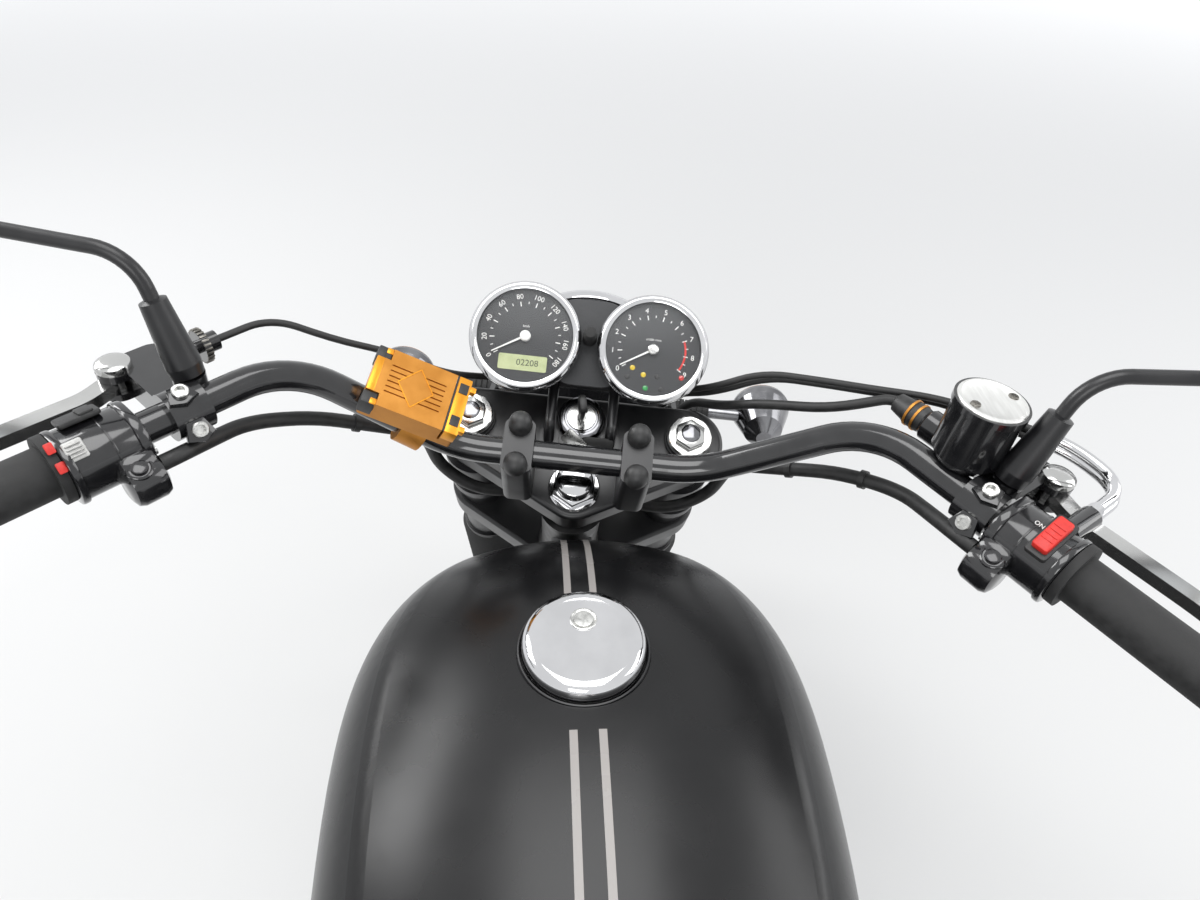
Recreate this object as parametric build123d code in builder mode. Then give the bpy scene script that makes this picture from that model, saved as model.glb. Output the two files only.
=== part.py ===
"""A cafe racer motorcycle: air cooled parallel twin, spoked wheels, wide handlebar, parked on its centre stand.

Row frame: +X forward, +Y to the rider's left, +Z up, origin on the floor below the middle of the bike.
Fork frame: origin where the steering axis meets the top yoke, +X forward, +Y left, +Z up along the axis.
All lengths are millimetres and all angles are degrees.
"""
from build123d import *
from math import atan2, cos, degrees, hypot, radians, sin, tan
import os

# Chassis geometry
WHEELBASE = 1465.0
RAKE = 27.0
TRAIL = 108.0
FRONT_AXLE_X = 735.0
REAR_AXLE_X = FRONT_AXLE_X - WHEELBASE
REAR_LIFT = 15.0
TOP_YOKE_Z = 925.0
STEER_AT_REST = -7.0
SEAT_GAP = 0.2
RUNNING_GAP = 0.05

# Tyres and wheels: outer radius, half width, bead radius, rim half width
FRONT_TYRE_R = 331.0
FRONT_TYRE_HALF = 50.0
FRONT_BEAD_R = 243.0
FRONT_RIM_HALF = 34.0
REAR_TYRE_R = 332.5
REAR_TYRE_HALF = 65.0
REAR_BEAD_R = 230.0
REAR_RIM_HALF = 46.0
RIM_DEPTH = 15.0
RIM_WALL = 4.0
RIM_LIP = 12.0
SPOKES = 36
SPOKE_R = 1.75
AXLE_R = 8.5

# Fork
FORK_HALF = 94.0
STANCHION_R = 20.5
COVER_R = 24.5
SLIDER_R = 25.5
GAITER_R = 31.0
YOKE_THICK = 26.0
LOWER_YOKE_U = -198.0
LOWER_YOKE_THICK = 34.0
COVER_END_U = -282.0
GAITER_END_U = -462.0
STEM_R = 13.0
HEAD_TUBE_R = 27.0
BEARING_R = 25.0
BEARING_THICK = 9.0

# Handlebar, in the fork frame: forward, half span and height of each corner
BAR_R = 11.1
BAR_CENTRE = (7.0, 52.0)
BAR_CORNERS = [
    # forward, half span, up, bend radius
    (7.0, 96.0, 52.0, 88.0),
    (30.0, 215.0, 121.0, 75.0),
]
BAR_END = (-172.0, 399.0, 218.0)
CLAMP_HALF = 46.5
CLAMP_WIDTH = 24.0
GRIP_LENGTH = 122.0
GRIP_R = 17.0
SWITCH_LENGTH = 50.0

# Engine
CRANK_X = 60.0
CASE_TOP = 470.0
CYLINDER_TOP = 625.0

# Frame tubes
BACKBONE_R = 19.0
CRADLE_R = 14.5
RAIL_HALF = 98.0
RAIL_Z = 752.0
PIVOT_X = -235.0
PIVOT_Z = 392.0
PIVOT_R = 9.0

os.makedirs("parts", exist_ok=True)

# Places worked out from the driving dimensions
STEER_X = FRONT_AXLE_X + TRAIL - TOP_YOKE_Z * tan(radians(RAKE))
REAR_AXLE_Z = REAR_TYRE_R + REAR_LIFT
AXLE_U = -(FRONT_AXLE_X - STEER_X) * sin(radians(RAKE)) - (TOP_YOKE_Z - FRONT_TYRE_R) * cos(radians(RAKE))
AXLE_F = (FRONT_AXLE_X - STEER_X) * cos(radians(RAKE)) - (TOP_YOKE_Z - FRONT_TYRE_R) * sin(radians(RAKE))
FORK_OFFSET = AXLE_F
SHOCK_TOP = (REAR_AXLE_X + 90, 742.0)
SHOCK_LOW = (REAR_AXLE_X + 58, REAR_AXLE_Z + 40.5)
FORK = Location((STEER_X, 0, TOP_YOKE_Z), (0, -RAKE, 0)) * Location((0, 0, 0), (0, 0, STEER_AT_REST))


def fork_point(ahead, left, above):
    """A level offset from the top yoke's centre, for straight steering, in the fork frame."""
    lean = radians(RAKE)
    return (ahead * cos(lean) + above * sin(lean), left, above * cos(lean) - ahead * sin(lean))


def keep(builder, name, place=None):
    """Labels a finished piece and writes it, placed in the row frame."""
    piece = builder.part if place is None else builder.part.moved(place)
    piece.label = name
    export_step(piece, f"parts/{name}.step")
    print(name, len(builder.part.solids()), round(builder.part.volume / 1000))


def tube(points, radius, bends=None, bore=0.0):
    """A round tube along straight runs joined by tangent arcs."""
    with BuildPart(mode=Mode.PRIVATE) as made:
        with BuildLine() as route:
            if len(points) == 2:
                Line(*points)
            else:
                FilletPolyline(*points, radius=bends)
        start = route.line @ 0
        with BuildSketch(Plane(origin=start, z_dir=route.line % 0)):
            Circle(radius)
            if bore:
                Circle(bore, mode=Mode.SUBTRACT)
        sweep(path=route.line)
    return made.part


def cable(points, radius):
    """A cable whose arcs are as large as its runs allow."""
    spots = [Vector(*p) for p in points]
    radii = []
    for before, here, after in zip(spots, spots[1:], spots[2:]):
        arriving, leaving = here - before, after - here
        turn = radians(arriving.get_angle(leaving))
        radii.append(0.45 * min(arriving.length, leaving.length) / tan(turn / 2))
    return tube(points, radius, radii)


def round_along(centre, direction, profile):
    """A solid of revolution about any axis, from (distance along it, radius) corners."""
    plane = Plane(origin=centre, z_dir=direction)
    with BuildPart(mode=Mode.PRIVATE) as made:
        with BuildSketch(Plane(origin=centre, x_dir=plane.x_dir, z_dir=-plane.y_dir)):
            with BuildLine():
                Polyline(*[(radius, along) for along, radius in profile], close=True)
            make_face()
        revolve(axis=Axis(centre, direction))
    return made.part


def mirrored(points):
    """The same route on the other side of the centre plane."""
    return [(p[0], -p[1], p[2]) for p in points]


# Tyres and rims, each a ring about the wheel's own axle
def tyre_part(at, outer, half, bead, rim_half):
    inner_half = rim_half - RIM_WALL
    lip = bead + RIM_LIP
    with BuildPart() as tyre:
        with BuildSketch(Plane(origin=at, x_dir=(0, 1, 0), z_dir=(1, 0, 0))):
            with BuildLine():
                Polyline((-inner_half, lip), (-inner_half, bead), (inner_half, bead), (inner_half, lip))
                shoulder = (half * 0.8, outer - half * 0.3)
                ThreePointArc((inner_half, lip), (half, (lip + shoulder[1]) / 2), shoulder)
                ThreePointArc(shoulder, (0, outer), (-shoulder[0], shoulder[1]))
                ThreePointArc((-shoulder[0], shoulder[1]), (-half, (lip + shoulder[1]) / 2), (-inner_half, lip))
            make_face()
        revolve(axis=Axis(at, (0, 1, 0)))
    return tyre


def rim_part(at, bead, rim_half):
    inner_half = rim_half - RIM_WALL
    with BuildPart() as rim:
        with BuildSketch(Plane(origin=at, x_dir=(0, 1, 0), z_dir=(1, 0, 0))):
            with BuildLine():
                Polyline(
                    (-rim_half, bead - 2),
                    (-rim_half, bead + RIM_LIP),
                    (-inner_half, bead + RIM_LIP),
                    (-inner_half, bead),
                    (inner_half, bead),
                    (inner_half, bead + RIM_LIP),
                    (rim_half, bead + RIM_LIP),
                    (rim_half, bead - 2),
                    (rim_half * 0.4, bead - RIM_DEPTH),
                    (-rim_half * 0.4, bead - RIM_DEPTH),
                    close=True,
                )
            make_face()
        revolve(axis=Axis(at, (0, 1, 0)))
    return rim


def spokes_part(at, flange_r, flange_y, rim_r, rim_y, lean):
    """Half the spokes lean forwards from the left flange and half backwards from the right one."""
    with BuildPart() as spokes:
        for side in (1, -1):
            for turn in range(SPOKES // 2):
                angle = 360 * turn / (SPOKES // 2) + (5 if side > 0 else -5)
                start = radians(angle)
                end = radians(angle + side * lean)
                near = Vector(*at) + Vector(flange_r * cos(start), side * flange_y, flange_r * sin(start))
                far = Vector(at[0] + rim_r * cos(end), at[1] + side * rim_y, at[2] + rim_r * sin(end))
                add(tube([near, far], SPOKE_R))
    return spokes


FRONT_HUB = (AXLE_F, 0, AXLE_U)
REAR_HUB = (REAR_AXLE_X, 0, REAR_AXLE_Z)
FRONT_FLANGE_R = 38.0
REAR_FLANGE_R = 88.0
SPOKE_SINK = 3.0
SPOKE_GAP = 0.6

keep(tyre_part(FRONT_HUB, FRONT_TYRE_R, FRONT_TYRE_HALF, FRONT_BEAD_R, FRONT_RIM_HALF), "front_tyre", FORK)
keep(rim_part(FRONT_HUB, FRONT_BEAD_R, FRONT_RIM_HALF), "front_rim", FORK)
front_spokes = spokes_part(
    FRONT_HUB, FRONT_FLANGE_R - SPOKE_SINK, 32, FRONT_BEAD_R - RIM_DEPTH - SPOKE_GAP, 8, 32)
keep(tyre_part(REAR_HUB, REAR_TYRE_R, REAR_TYRE_HALF, REAR_BEAD_R, REAR_RIM_HALF), "rear_tyre")
keep(rim_part(REAR_HUB, REAR_BEAD_R, REAR_RIM_HALF), "rear_rim")
rear_spokes = spokes_part(
    REAR_HUB, REAR_FLANGE_R - SPOKE_SINK, 31, REAR_BEAD_R - RIM_DEPTH - SPOKE_GAP, 9, 22)


def turned(at, profile):
    """A solid of revolution about an axle along Y, from (y, radius) corners."""
    with BuildPart(mode=Mode.PRIVATE) as made:
        with BuildSketch(Plane(origin=at, x_dir=(0, 1, 0), z_dir=(1, 0, 0))):
            with BuildLine():
                Polyline(*profile, close=True)
            make_face()
        revolve(axis=Axis(at, (0, 1, 0)))
    return made.part


# Front hub, brake disc and axle
HUB_HALF = 39.0
DISC_Y = -52.0
DISC_R = 150.0
DISC_THICK = 5.0
HUB_BORE = AXLE_R + RUNNING_GAP
with BuildPart() as front_hub:
    add(turned(FRONT_HUB, [
        (-HUB_HALF, HUB_BORE), (-HUB_HALF, 32), (-36, FRONT_FLANGE_R), (-28, FRONT_FLANGE_R), (-24, 24),
        (24, 24), (28, FRONT_FLANGE_R), (36, FRONT_FLANGE_R), (HUB_HALF, 30), (HUB_HALF, HUB_BORE)]))
    add(turned(FRONT_HUB, [
        (-HUB_HALF, 46), (-HUB_HALF, 20), (DISC_Y + DISC_THICK / 2, 20), (DISC_Y + DISC_THICK / 2, 46)]))
    add(front_spokes.part)
keep(front_hub, "front_hub", FORK)

DISC_PLANE = Plane(origin=(AXLE_F, DISC_Y, AXLE_U), x_dir=(1, 0, 0), z_dir=(0, -1, 0))
with BuildPart() as front_disc:
    with BuildSketch(DISC_PLANE):
        Circle(DISC_R)
        Circle(32, mode=Mode.SUBTRACT)
        with PolarLocations(78, 8):
            SlotCenterToCenter(30, 22, rotation=90, mode=Mode.SUBTRACT)
        for ring, shift in ((112, 0), (126, 7.5), (139, 15)):
            with PolarLocations(ring, 24, start_angle=shift):
                Circle(3.4, mode=Mode.SUBTRACT)
    extrude(amount=DISC_THICK / 2, both=True)
keep(front_disc, "front_brake_disc", FORK)

SLIDER_INNER = FORK_HALF - SLIDER_R
with BuildPart() as front_axle:
    add(turned(FRONT_HUB, [
        (-FORK_HALF - 34, 0), (-FORK_HALF - 34, 12), (-FORK_HALF - SLIDER_R - 0.5, 12),
        (-FORK_HALF - SLIDER_R - 0.5, AXLE_R), (-SLIDER_INNER + 1, AXLE_R), (-SLIDER_INNER + 1, 13),
        (DISC_Y - DISC_THICK / 2 - 1.5, 13), (DISC_Y - DISC_THICK / 2 - 1.5, AXLE_R), (HUB_HALF + 0.6, AXLE_R),
        (HUB_HALF + 0.6, 13), (SLIDER_INNER - 1, 13), (SLIDER_INNER - 1, AXLE_R),
        (FORK_HALF + SLIDER_R + 0.5, AXLE_R), (FORK_HALF + SLIDER_R + 0.5, 12), (FORK_HALF + 34, 12),
        (FORK_HALF + 34, 0)]))
keep(front_axle, "front_axle", FORK)

# Fork legs: tubes with their covers and the lamp's ears, gaiters and sliders
CALIPER_F = AXLE_F - 92
CALIPER_U = AXLE_U + 98
LOWER_YOKE_TOP = LOWER_YOKE_U + LOWER_YOKE_THICK
LEGS = [(FORK_OFFSET, side * FORK_HALF) for side in (1, -1)]
LAMP_AHEAD = 262.0
LAMP_ABOVE = -62.0
LAMP_STUD_BACK = 60.0
EAR_U = (-70.0, -132.0)
EAR_Y = 93.0
EAR_THICK = 5.0
with BuildPart() as fork_tubes:
    for leg in LEGS:
        stages = [
            # from, to, radius
            (GAITER_END_U, 4, STANCHION_R),
            (LOWER_YOKE_TOP + SEAT_GAP, -YOKE_THICK - SEAT_GAP, COVER_R),
            (COVER_END_U, LOWER_YOKE_U - SEAT_GAP, COVER_R),
            (COVER_END_U, COVER_END_U + 9, COVER_R + 3),
            (4, 9, STANCHION_R - 1),
            (EAR_U[0], EAR_U[0] + 12, COVER_R + 5),
            (EAR_U[1], EAR_U[1] + 12, COVER_R + 5),
        ]
        for low, high, radius in stages:
            with BuildSketch(Plane.XY.offset(low)):
                with Locations(leg):
                    Circle(radius)
            extrude(amount=high - low)
        with BuildSketch(Plane.XY.offset(9)):
            with Locations(leg):
                RegularPolygon(13, 6)
        extrude(amount=7)
    stud = Vector(*fork_point(LAMP_AHEAD - LAMP_STUD_BACK, 0, LAMP_ABOVE))
    for side in (1, -1):
        with BuildSketch(Plane(origin=(0, side * EAR_Y, 0), x_dir=(1, 0, 0), z_dir=(0, -1, 0))):
            with BuildSketch(mode=Mode.PRIVATE) as ear:
                with Locations(*[(FORK_OFFSET + COVER_R + 3, level + 6) for level in EAR_U]):
                    Circle(6)
                with Locations((stud.X, stud.Z)):
                    Circle(14)
            make_hull(ear.sketch.edges())
        extrude(amount=EAR_THICK / 2, both=True)
keep(fork_tubes, "fork_tubes", FORK)

GAITER_FOLDS = 9
with BuildPart() as gaiters:
    top, low = COVER_END_U - SEAT_GAP, GAITER_END_U
    fold = (top - low) / GAITER_FOLDS
    corners = [(STANCHION_R + SEAT_GAP, top), (GAITER_R - 5, top)]
    for n in range(GAITER_FOLDS):
        corners += [(GAITER_R, top - fold * (n + 0.5)), (GAITER_R - 5, top - fold * (n + 1))]
    corners += [(STANCHION_R + SEAT_GAP, low)]
    for leg in LEGS:
        with BuildSketch(Plane(origin=(leg[0], leg[1], 0), x_dir=(1, 0, 0), z_dir=(0, -1, 0))):
            with BuildLine():
                Polyline(*corners, close=True)
            make_face()
        revolve(axis=Axis((leg[0], leg[1], 0), (0, 0, 1)))
keep(gaiters, "fork_gaiters", FORK)

SLIDER_BOTTOM = AXLE_U - 30
with BuildPart() as sliders:
    for leg in LEGS:
        with BuildSketch(Plane.XY.offset(SLIDER_BOTTOM)):
            with Locations(leg):
                Circle(SLIDER_R)
        extrude(amount=GAITER_END_U - SEAT_GAP - SLIDER_BOTTOM)
        with BuildSketch(Plane(origin=(leg[0], leg[1], AXLE_U), x_dir=(1, 0, 0), z_dir=(0, -1, 0))):
            Circle(AXLE_R + RUNNING_GAP)
        extrude(amount=SLIDER_R + 2, both=True, mode=Mode.SUBTRACT)
    with BuildSketch(Plane.XY.offset(CALIPER_U - 34)):
        with Locations((CALIPER_F + 38, -SLIDER_INNER - 3)):
            Rectangle(80, 11)
    extrude(amount=68)
    with BuildSketch(Plane.XY.offset(CALIPER_U - 36)):
        with Locations((CALIPER_F, DISC_Y)):
            Rectangle(46.4, 52.4)
    extrude(amount=76, mode=Mode.SUBTRACT)
    with BuildSketch(Plane.XY.offset(SLIDER_BOTTOM - 1)):
        for leg in LEGS:
            with Locations(leg):
                Circle(STANCHION_R - 4)
    extrude(amount=5, mode=Mode.SUBTRACT)
keep(sliders, "fork_sliders", FORK)

# Brake caliper, gripping the disc behind the right leg
with BuildPart() as caliper:
    with BuildSketch(Plane.XY.offset(CALIPER_U - 36)):
        with Locations((CALIPER_F, DISC_Y)):
            RectangleRounded(46, 52, 8)
    extrude(amount=74)
    with BuildSketch(DISC_PLANE):
        Circle(DISC_R + 3)
    extrude(amount=DISC_THICK / 2 + 1.2, both=True, mode=Mode.SUBTRACT)
    for shift in (-17, 17):
        boss = (CALIPER_F, DISC_Y - 26, CALIPER_U + shift)
        with BuildSketch(Plane(origin=boss, x_dir=(1, 0, 0), z_dir=(0, -1, 0))):
            Circle(15)
        extrude(amount=8)
keep(caliper, "brake_caliper", FORK)

# Front mudguard: a rolled shell with two pairs of stays down to the sliders
GUARD_GAP = 14.0
GUARD_HALF = 57.0
GUARD_WALL = 2.5
FOOT_GAP = 0.3


def guard_shell(at, radius, half, start, sweep_angle, wall):
    """A rounded channel revolved about the axle, its crown at radius, from start degrees back over the top."""
    with BuildPart(mode=Mode.PRIVATE) as made:
        plane = Plane(origin=at, x_dir=(0, 1, 0), z_dir=(1, 0, 0))
        with BuildSketch(plane):
            with BuildLine():
                ThreePointArc((-half, radius - 30), (0, radius + wall), (half, radius - 30))
                Line((half, radius - 30), (half - wall, radius - 30))
                ThreePointArc((half - wall, radius - 30), (0, radius), (-half + wall, radius - 30))
                Line((-half + wall, radius - 30), (-half, radius - 30))
            make_face()
        revolve(axis=Axis(at, (0, 1, 0)), revolution_arc=sweep_angle)
    return made.part.rotate(Axis(at, (0, 1, 0)), start)


with BuildPart() as front_mudguard:
    guard_r = FRONT_TYRE_R + GUARD_GAP
    add(guard_shell(FRONT_HUB, guard_r, GUARD_HALF, -58, 120, GUARD_WALL))
    for side in (1, -1):
        for angle in (-45, 38):
            a = radians(angle)
            edge_r = guard_r - 29
            spot = (AXLE_F + edge_r * sin(a), side * (GUARD_HALF - 0.5), AXLE_U + edge_r * cos(a))
            knee = (FORK_OFFSET - 12, side * (SLIDER_INNER - 4.2), AXLE_U + 165)
            add(tube([spot, knee], 3.5))
        with BuildSketch(Plane(origin=(FORK_OFFSET - 12, side * (SLIDER_INNER - 8), AXLE_U + 165),
                               x_dir=(1, 0, 0), z_dir=(0, side, 0))):
            RectangleRounded(34, 22, 5)
        extrude(amount=8 - FOOT_GAP)
keep(front_mudguard, "front_mudguard", FORK)

# Yokes and steering stem
with BuildPart() as top_yoke:
    with BuildSketch(Plane.XY.offset(-YOKE_THICK)):
        with BuildSketch(mode=Mode.PRIVATE) as outline:
            with Locations(*LEGS):
                Circle(31)
            Circle(27)
        make_hull(outline.sketch.edges())
    extrude(amount=YOKE_THICK)
    fillet(top_yoke.faces().sort_by(Axis.Z)[-1].edges(), 4)
    with BuildSketch(Plane.XY.offset(-YOKE_THICK)):
        with Locations(*LEGS):
            Circle(STANCHION_R)
        Circle(STEM_R)
        with Locations(((FORK_OFFSET + 8), 0)):
            Circle(20)
    extrude(amount=YOKE_THICK, mode=Mode.SUBTRACT)
keep(top_yoke, "top_yoke", FORK)

with BuildPart() as bar_clamps:
    for side in (1, -1):
        base = Plane(origin=(BAR_CENTRE[0], side * CLAMP_HALF, SEAT_GAP), z_dir=(0, 0, 1))
        with BuildSketch(base):
            RectangleRounded(44, CLAMP_WIDTH, 6)
        extrude(amount=BAR_CENTRE[1] + BAR_R + 5)
        with BuildSketch(Plane(origin=(BAR_CENTRE[0], side * CLAMP_HALF, BAR_CENTRE[1]),
                               x_dir=(1, 0, 0), z_dir=(0, 1, 0))):
            Circle(BAR_R)
        extrude(amount=CLAMP_WIDTH, both=True, mode=Mode.SUBTRACT)
        for shift in (-17, 17):
            spot = (BAR_CENTRE[0] + shift, side * CLAMP_HALF, BAR_CENTRE[1] + BAR_R + 5)
            with BuildSketch(Plane(origin=spot, z_dir=(0, 0, 1))):
                Circle(8)
            extrude(amount=6)
            with BuildSketch(Plane(origin=(spot[0], spot[1], spot[2] + 6), z_dir=(0, 0, 1))):
                Circle(8)
            extrude(amount=5, taper=38)
keep(bar_clamps, "bar_clamps", FORK)

STEM_TOP = 12.0
with BuildPart(mode=Mode.PRIVATE) as stem:
    with BuildSketch(Plane.XY.offset(LOWER_YOKE_U)):
        with BuildSketch(mode=Mode.PRIVATE) as outline:
            with Locations(*LEGS):
                Circle(31)
            Circle(29)
        make_hull(outline.sketch.edges())
    extrude(amount=LOWER_YOKE_THICK)
    fillet(stem.faces().sort_by(Axis.Z)[-1].edges(), 4)
    with BuildSketch(Plane.XY.offset(LOWER_YOKE_U)):
        with Locations(*LEGS):
            Circle(STANCHION_R)
    extrude(amount=LOWER_YOKE_THICK, mode=Mode.SUBTRACT)
    with BuildSketch(Plane.XY.offset(LOWER_YOKE_TOP)):
        Circle(STEM_R)
    extrude(amount=STEM_TOP - LOWER_YOKE_TOP)
    for low in (LOWER_YOKE_TOP, -YOKE_THICK - SEAT_GAP - BEARING_THICK):
        with BuildSketch(Plane.XY.offset(low)):
            Circle(BEARING_R)
        extrude(amount=BEARING_THICK)

with BuildPart(mode=Mode.PRIVATE) as stem_nut:
    with BuildSketch(Plane.XY.offset(SEAT_GAP)):
        Circle(21)
        Circle(STEM_R, mode=Mode.SUBTRACT)
    extrude(amount=4)
    with BuildSketch(Plane.XY.offset(4 + SEAT_GAP)):
        RegularPolygon(19, 6)
        Circle(STEM_R, mode=Mode.SUBTRACT)
    extrude(amount=8)
    with BuildSketch(Plane.XY.offset(12 + SEAT_GAP)):
        Circle(15.5)
    extrude(amount=9)
    fillet(stem_nut.faces().sort_by(Axis.Z)[-1].edges(), 3)
with BuildPart() as steering_stem:
    add(stem.part)
    add(stem_nut.part)
keep(steering_stem, "steering_stem", FORK)

# Handlebar
half_bar = [(c[0], c[1], c[2]) for c in BAR_CORNERS]
bar_route = [mirrored([BAR_END])[0]] + mirrored(half_bar[::-1]) + half_bar + [BAR_END]
bar_bends = [BAR_CORNERS[1][3], BAR_CORNERS[0][3], BAR_CORNERS[0][3], BAR_CORNERS[1][3]]
with BuildPart() as handlebar:
    add(tube(bar_route, BAR_R, bar_bends))
keep(handlebar, "handlebar", FORK)


def on_bar(side, back):
    """A plane across the bar's outer run, back millimetres from its end, looking outwards."""
    end = Vector(BAR_END[0], side * BAR_END[1], BAR_END[2])
    corner = Vector(BAR_CORNERS[1][0], side * BAR_CORNERS[1][1], BAR_CORNERS[1][2])
    run = (end - corner).normalized()
    forward = Vector(*fork_point(1, 0, 0))
    forward = (forward - run * forward.dot(run)).normalized()
    return Plane(origin=end - run * back, x_dir=forward, z_dir=run)


def at_bar(side, back, ahead, above):
    """A point by the bar: ahead and above are measured across it."""
    plane = on_bar(side, back)
    up = plane.y_dir if plane.y_dir.Z > 0 else -plane.y_dir
    return plane.origin + plane.x_dir * ahead + up * above


END_WEIGHT = 10.0
FLANGE_BACK = GRIP_LENGTH + 2
SWITCH_BACK = FLANGE_BACK + 6 + SEAT_GAP
PERCH_BACK = {1: SWITCH_BACK + SWITCH_LENGTH + 32, -1: SWITCH_BACK + SWITCH_LENGTH + 16}
PERCH_WIDTH = 26.0
with BuildPart() as grips:
    for side in (1, -1):
        with BuildSketch(on_bar(side, GRIP_LENGTH + 2)):
            Circle(GRIP_R)
            Circle(BAR_R, mode=Mode.SUBTRACT)
        extrude(amount=GRIP_LENGTH)
        with BuildSketch(on_bar(side, FLANGE_BACK + 6)):
            Circle(GRIP_R + 6)
            Circle(BAR_R, mode=Mode.SUBTRACT)
        extrude(amount=6)
        with BuildSketch(on_bar(side, -SEAT_GAP)):
            Circle(GRIP_R - 1)
        extrude(amount=END_WEIGHT)
keep(grips, "grips", FORK)


# The throttle cables leave the right housing through a barrel pointing forward
BARREL_BACK = 146.0
BARREL_AHEAD = 42.0
BARREL_ABOVE = 14.0


def housing(side):
    """A switch housing: a rounded drum round the bar with a lower lobe towards the rider."""
    with BuildPart(mode=Mode.PRIVATE) as made:
        with BuildSketch(on_bar(side, SWITCH_BACK + SWITCH_LENGTH)):
            Circle(23)
            with Locations((-12, 0)):
                RectangleRounded(30, 40, 8)
        extrude(amount=SWITCH_LENGTH)
        across = on_bar(side, 0)
        lobe_at = at_bar(side, SWITCH_BACK + SWITCH_LENGTH - 14, -30, -14)
        lobe = Plane(origin=lobe_at, x_dir=across.x_dir, z_dir=across.z_dir)
        with BuildSketch(lobe):
            Circle(14)
        extrude(amount=12, both=True)
        if side < 0:
            add(round_along(at_bar(side, BARREL_BACK, 12, BARREL_ABOVE), on_bar(side, 0).x_dir, [
                (0, 0), (0, 8), (BARREL_AHEAD - 12, 8), (BARREL_AHEAD - 12, 0)]))
        with BuildSketch(on_bar(side, SWITCH_BACK + SWITCH_LENGTH)):
            Circle(BAR_R)
        extrude(amount=SWITCH_LENGTH, mode=Mode.SUBTRACT)
    return made.part


with BuildPart() as switches:
    add(housing(1))
    add(housing(-1))
keep(switches, "switch_housings", FORK)


def box_between(low, high):
    """A plain block between two corners."""
    centre = [(a + b) / 2 for a, b in zip(low, high)]
    size = [b - a for a, b in zip(low, high)]
    with BuildPart(mode=Mode.PRIVATE) as made:
        with Locations(tuple(centre)):
            Box(*size)
    return made.part


LEVER_PIVOT_AHEAD = 60.0
LEVER_PIVOT_OUT = 16.0
LEVER_THICK = 9.0
PERCH_ARM = (24.0, 50.0)
MIRROR_FOOT = {1: (PERCH_BACK[1] + 14, 14.0), -1: (PERCH_BACK[-1], 22.0)}
MIRROR_FOOT_ABOVE = 15.0


def up_at(side):
    """The direction across the bar's outer run that points most nearly up."""
    across = on_bar(side, 0).y_dir
    return across if across.Z > 0 else across * -1


def perch(side):
    """A clamp round the bar, a slotted arm for the lever and a boss for the mirror."""
    back = PERCH_BACK[side]
    run = on_bar(side, 0).z_dir
    with BuildPart(mode=Mode.PRIVATE) as made:
        with BuildSketch(on_bar(side, back + PERCH_WIDTH / 2)):
            Circle(17)
            with Locations((LEVER_PIVOT_AHEAD / 2 - 3, 0)):
                Rectangle(LEVER_PIVOT_AHEAD - 14, 22)
        extrude(amount=PERCH_WIDTH)
        middle_out = LEVER_PIVOT_OUT - (PERCH_ARM[1] - PERCH_ARM[0]) / 2
        arm_at = at_bar(side, back - middle_out, LEVER_PIVOT_AHEAD, -10)
        arm = Plane(origin=arm_at, x_dir=run, z_dir=up_at(side))
        with BuildSketch(arm):
            SlotOverall(PERCH_ARM[1], PERCH_ARM[0])
        extrude(amount=20)
        with BuildSketch(Plane(origin=at_bar(side, *MIRROR_FOOT[side], -4), z_dir=up_at(side))):
            Circle(11)
        extrude(amount=MIRROR_FOOT_ABOVE + 5)
        with BuildSketch(on_bar(side, back + PERCH_WIDTH)):
            Circle(BAR_R)
        extrude(amount=2 * PERCH_WIDTH, mode=Mode.SUBTRACT)
        slot = Plane(origin=at_bar(side, back, LEVER_PIVOT_AHEAD, 0), x_dir=run, z_dir=up_at(side))
        with BuildSketch(slot):
            with Locations((34, 0)):
                Rectangle(60, 30)
        extrude(amount=LEVER_THICK / 2 + SEAT_GAP, both=True, mode=Mode.SUBTRACT)
    return made.part


def lever(side):
    """A flat blade from the perch outwards in front of the grip, with a ball at its tip."""
    pivot = PERCH_BACK[side] - LEVER_PIVOT_OUT
    spots = [
        # back from the bar's end and ahead of it
        (pivot, LEVER_PIVOT_AHEAD),
        (pivot - 26, 50),
        (66, 52),
        (2, 46),
    ]
    flat = Plane(origin=at_bar(side, 0, 0, 0), x_dir=on_bar(side, 0).z_dir, z_dir=up_at(side))
    corners = [flat.to_local_coords(at_bar(side, back, ahead, 0)) for back, ahead in spots]
    with BuildPart(mode=Mode.PRIVATE) as made:
        with BuildSketch(flat):
            with BuildLine() as route:
                FilletPolyline(*[(c.X, c.Y) for c in corners], radius=(40, 200))
            trace(route.line, 13)
            with Locations((corners[0].X, corners[0].Y)):
                Circle(9)
        extrude(amount=LEVER_THICK / 2, both=True)
        with BuildSketch(flat):
            with Locations((corners[-1].X, corners[-1].Y)):
                Circle(8.5)
        extrude(amount=7, both=True)
    return made.part


# Clutch perch with its cable's adjuster, and the clutch lever
ADJUSTER_BACK = PERCH_BACK[1] + 19
ADJUSTER = [
    # along from the perch's arm, radius: screw, knurled wheel, ferrule
    (0, 0), (0, 5), (24, 5), (24, 12.5), (29, 12.5), (29, 7.5), (38, 7.5), (38, 0),
]
with BuildPart() as clutch_perch:
    add(perch(1))
    add(round_along(at_bar(1, ADJUSTER_BACK, LEVER_PIVOT_AHEAD, 0), on_bar(1, 0).z_dir * -1, ADJUSTER))
keep(clutch_perch, "clutch_perch", FORK)
with BuildPart() as clutch_lever:
    add(lever(1))
keep(clutch_lever, "clutch_lever", FORK)

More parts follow.
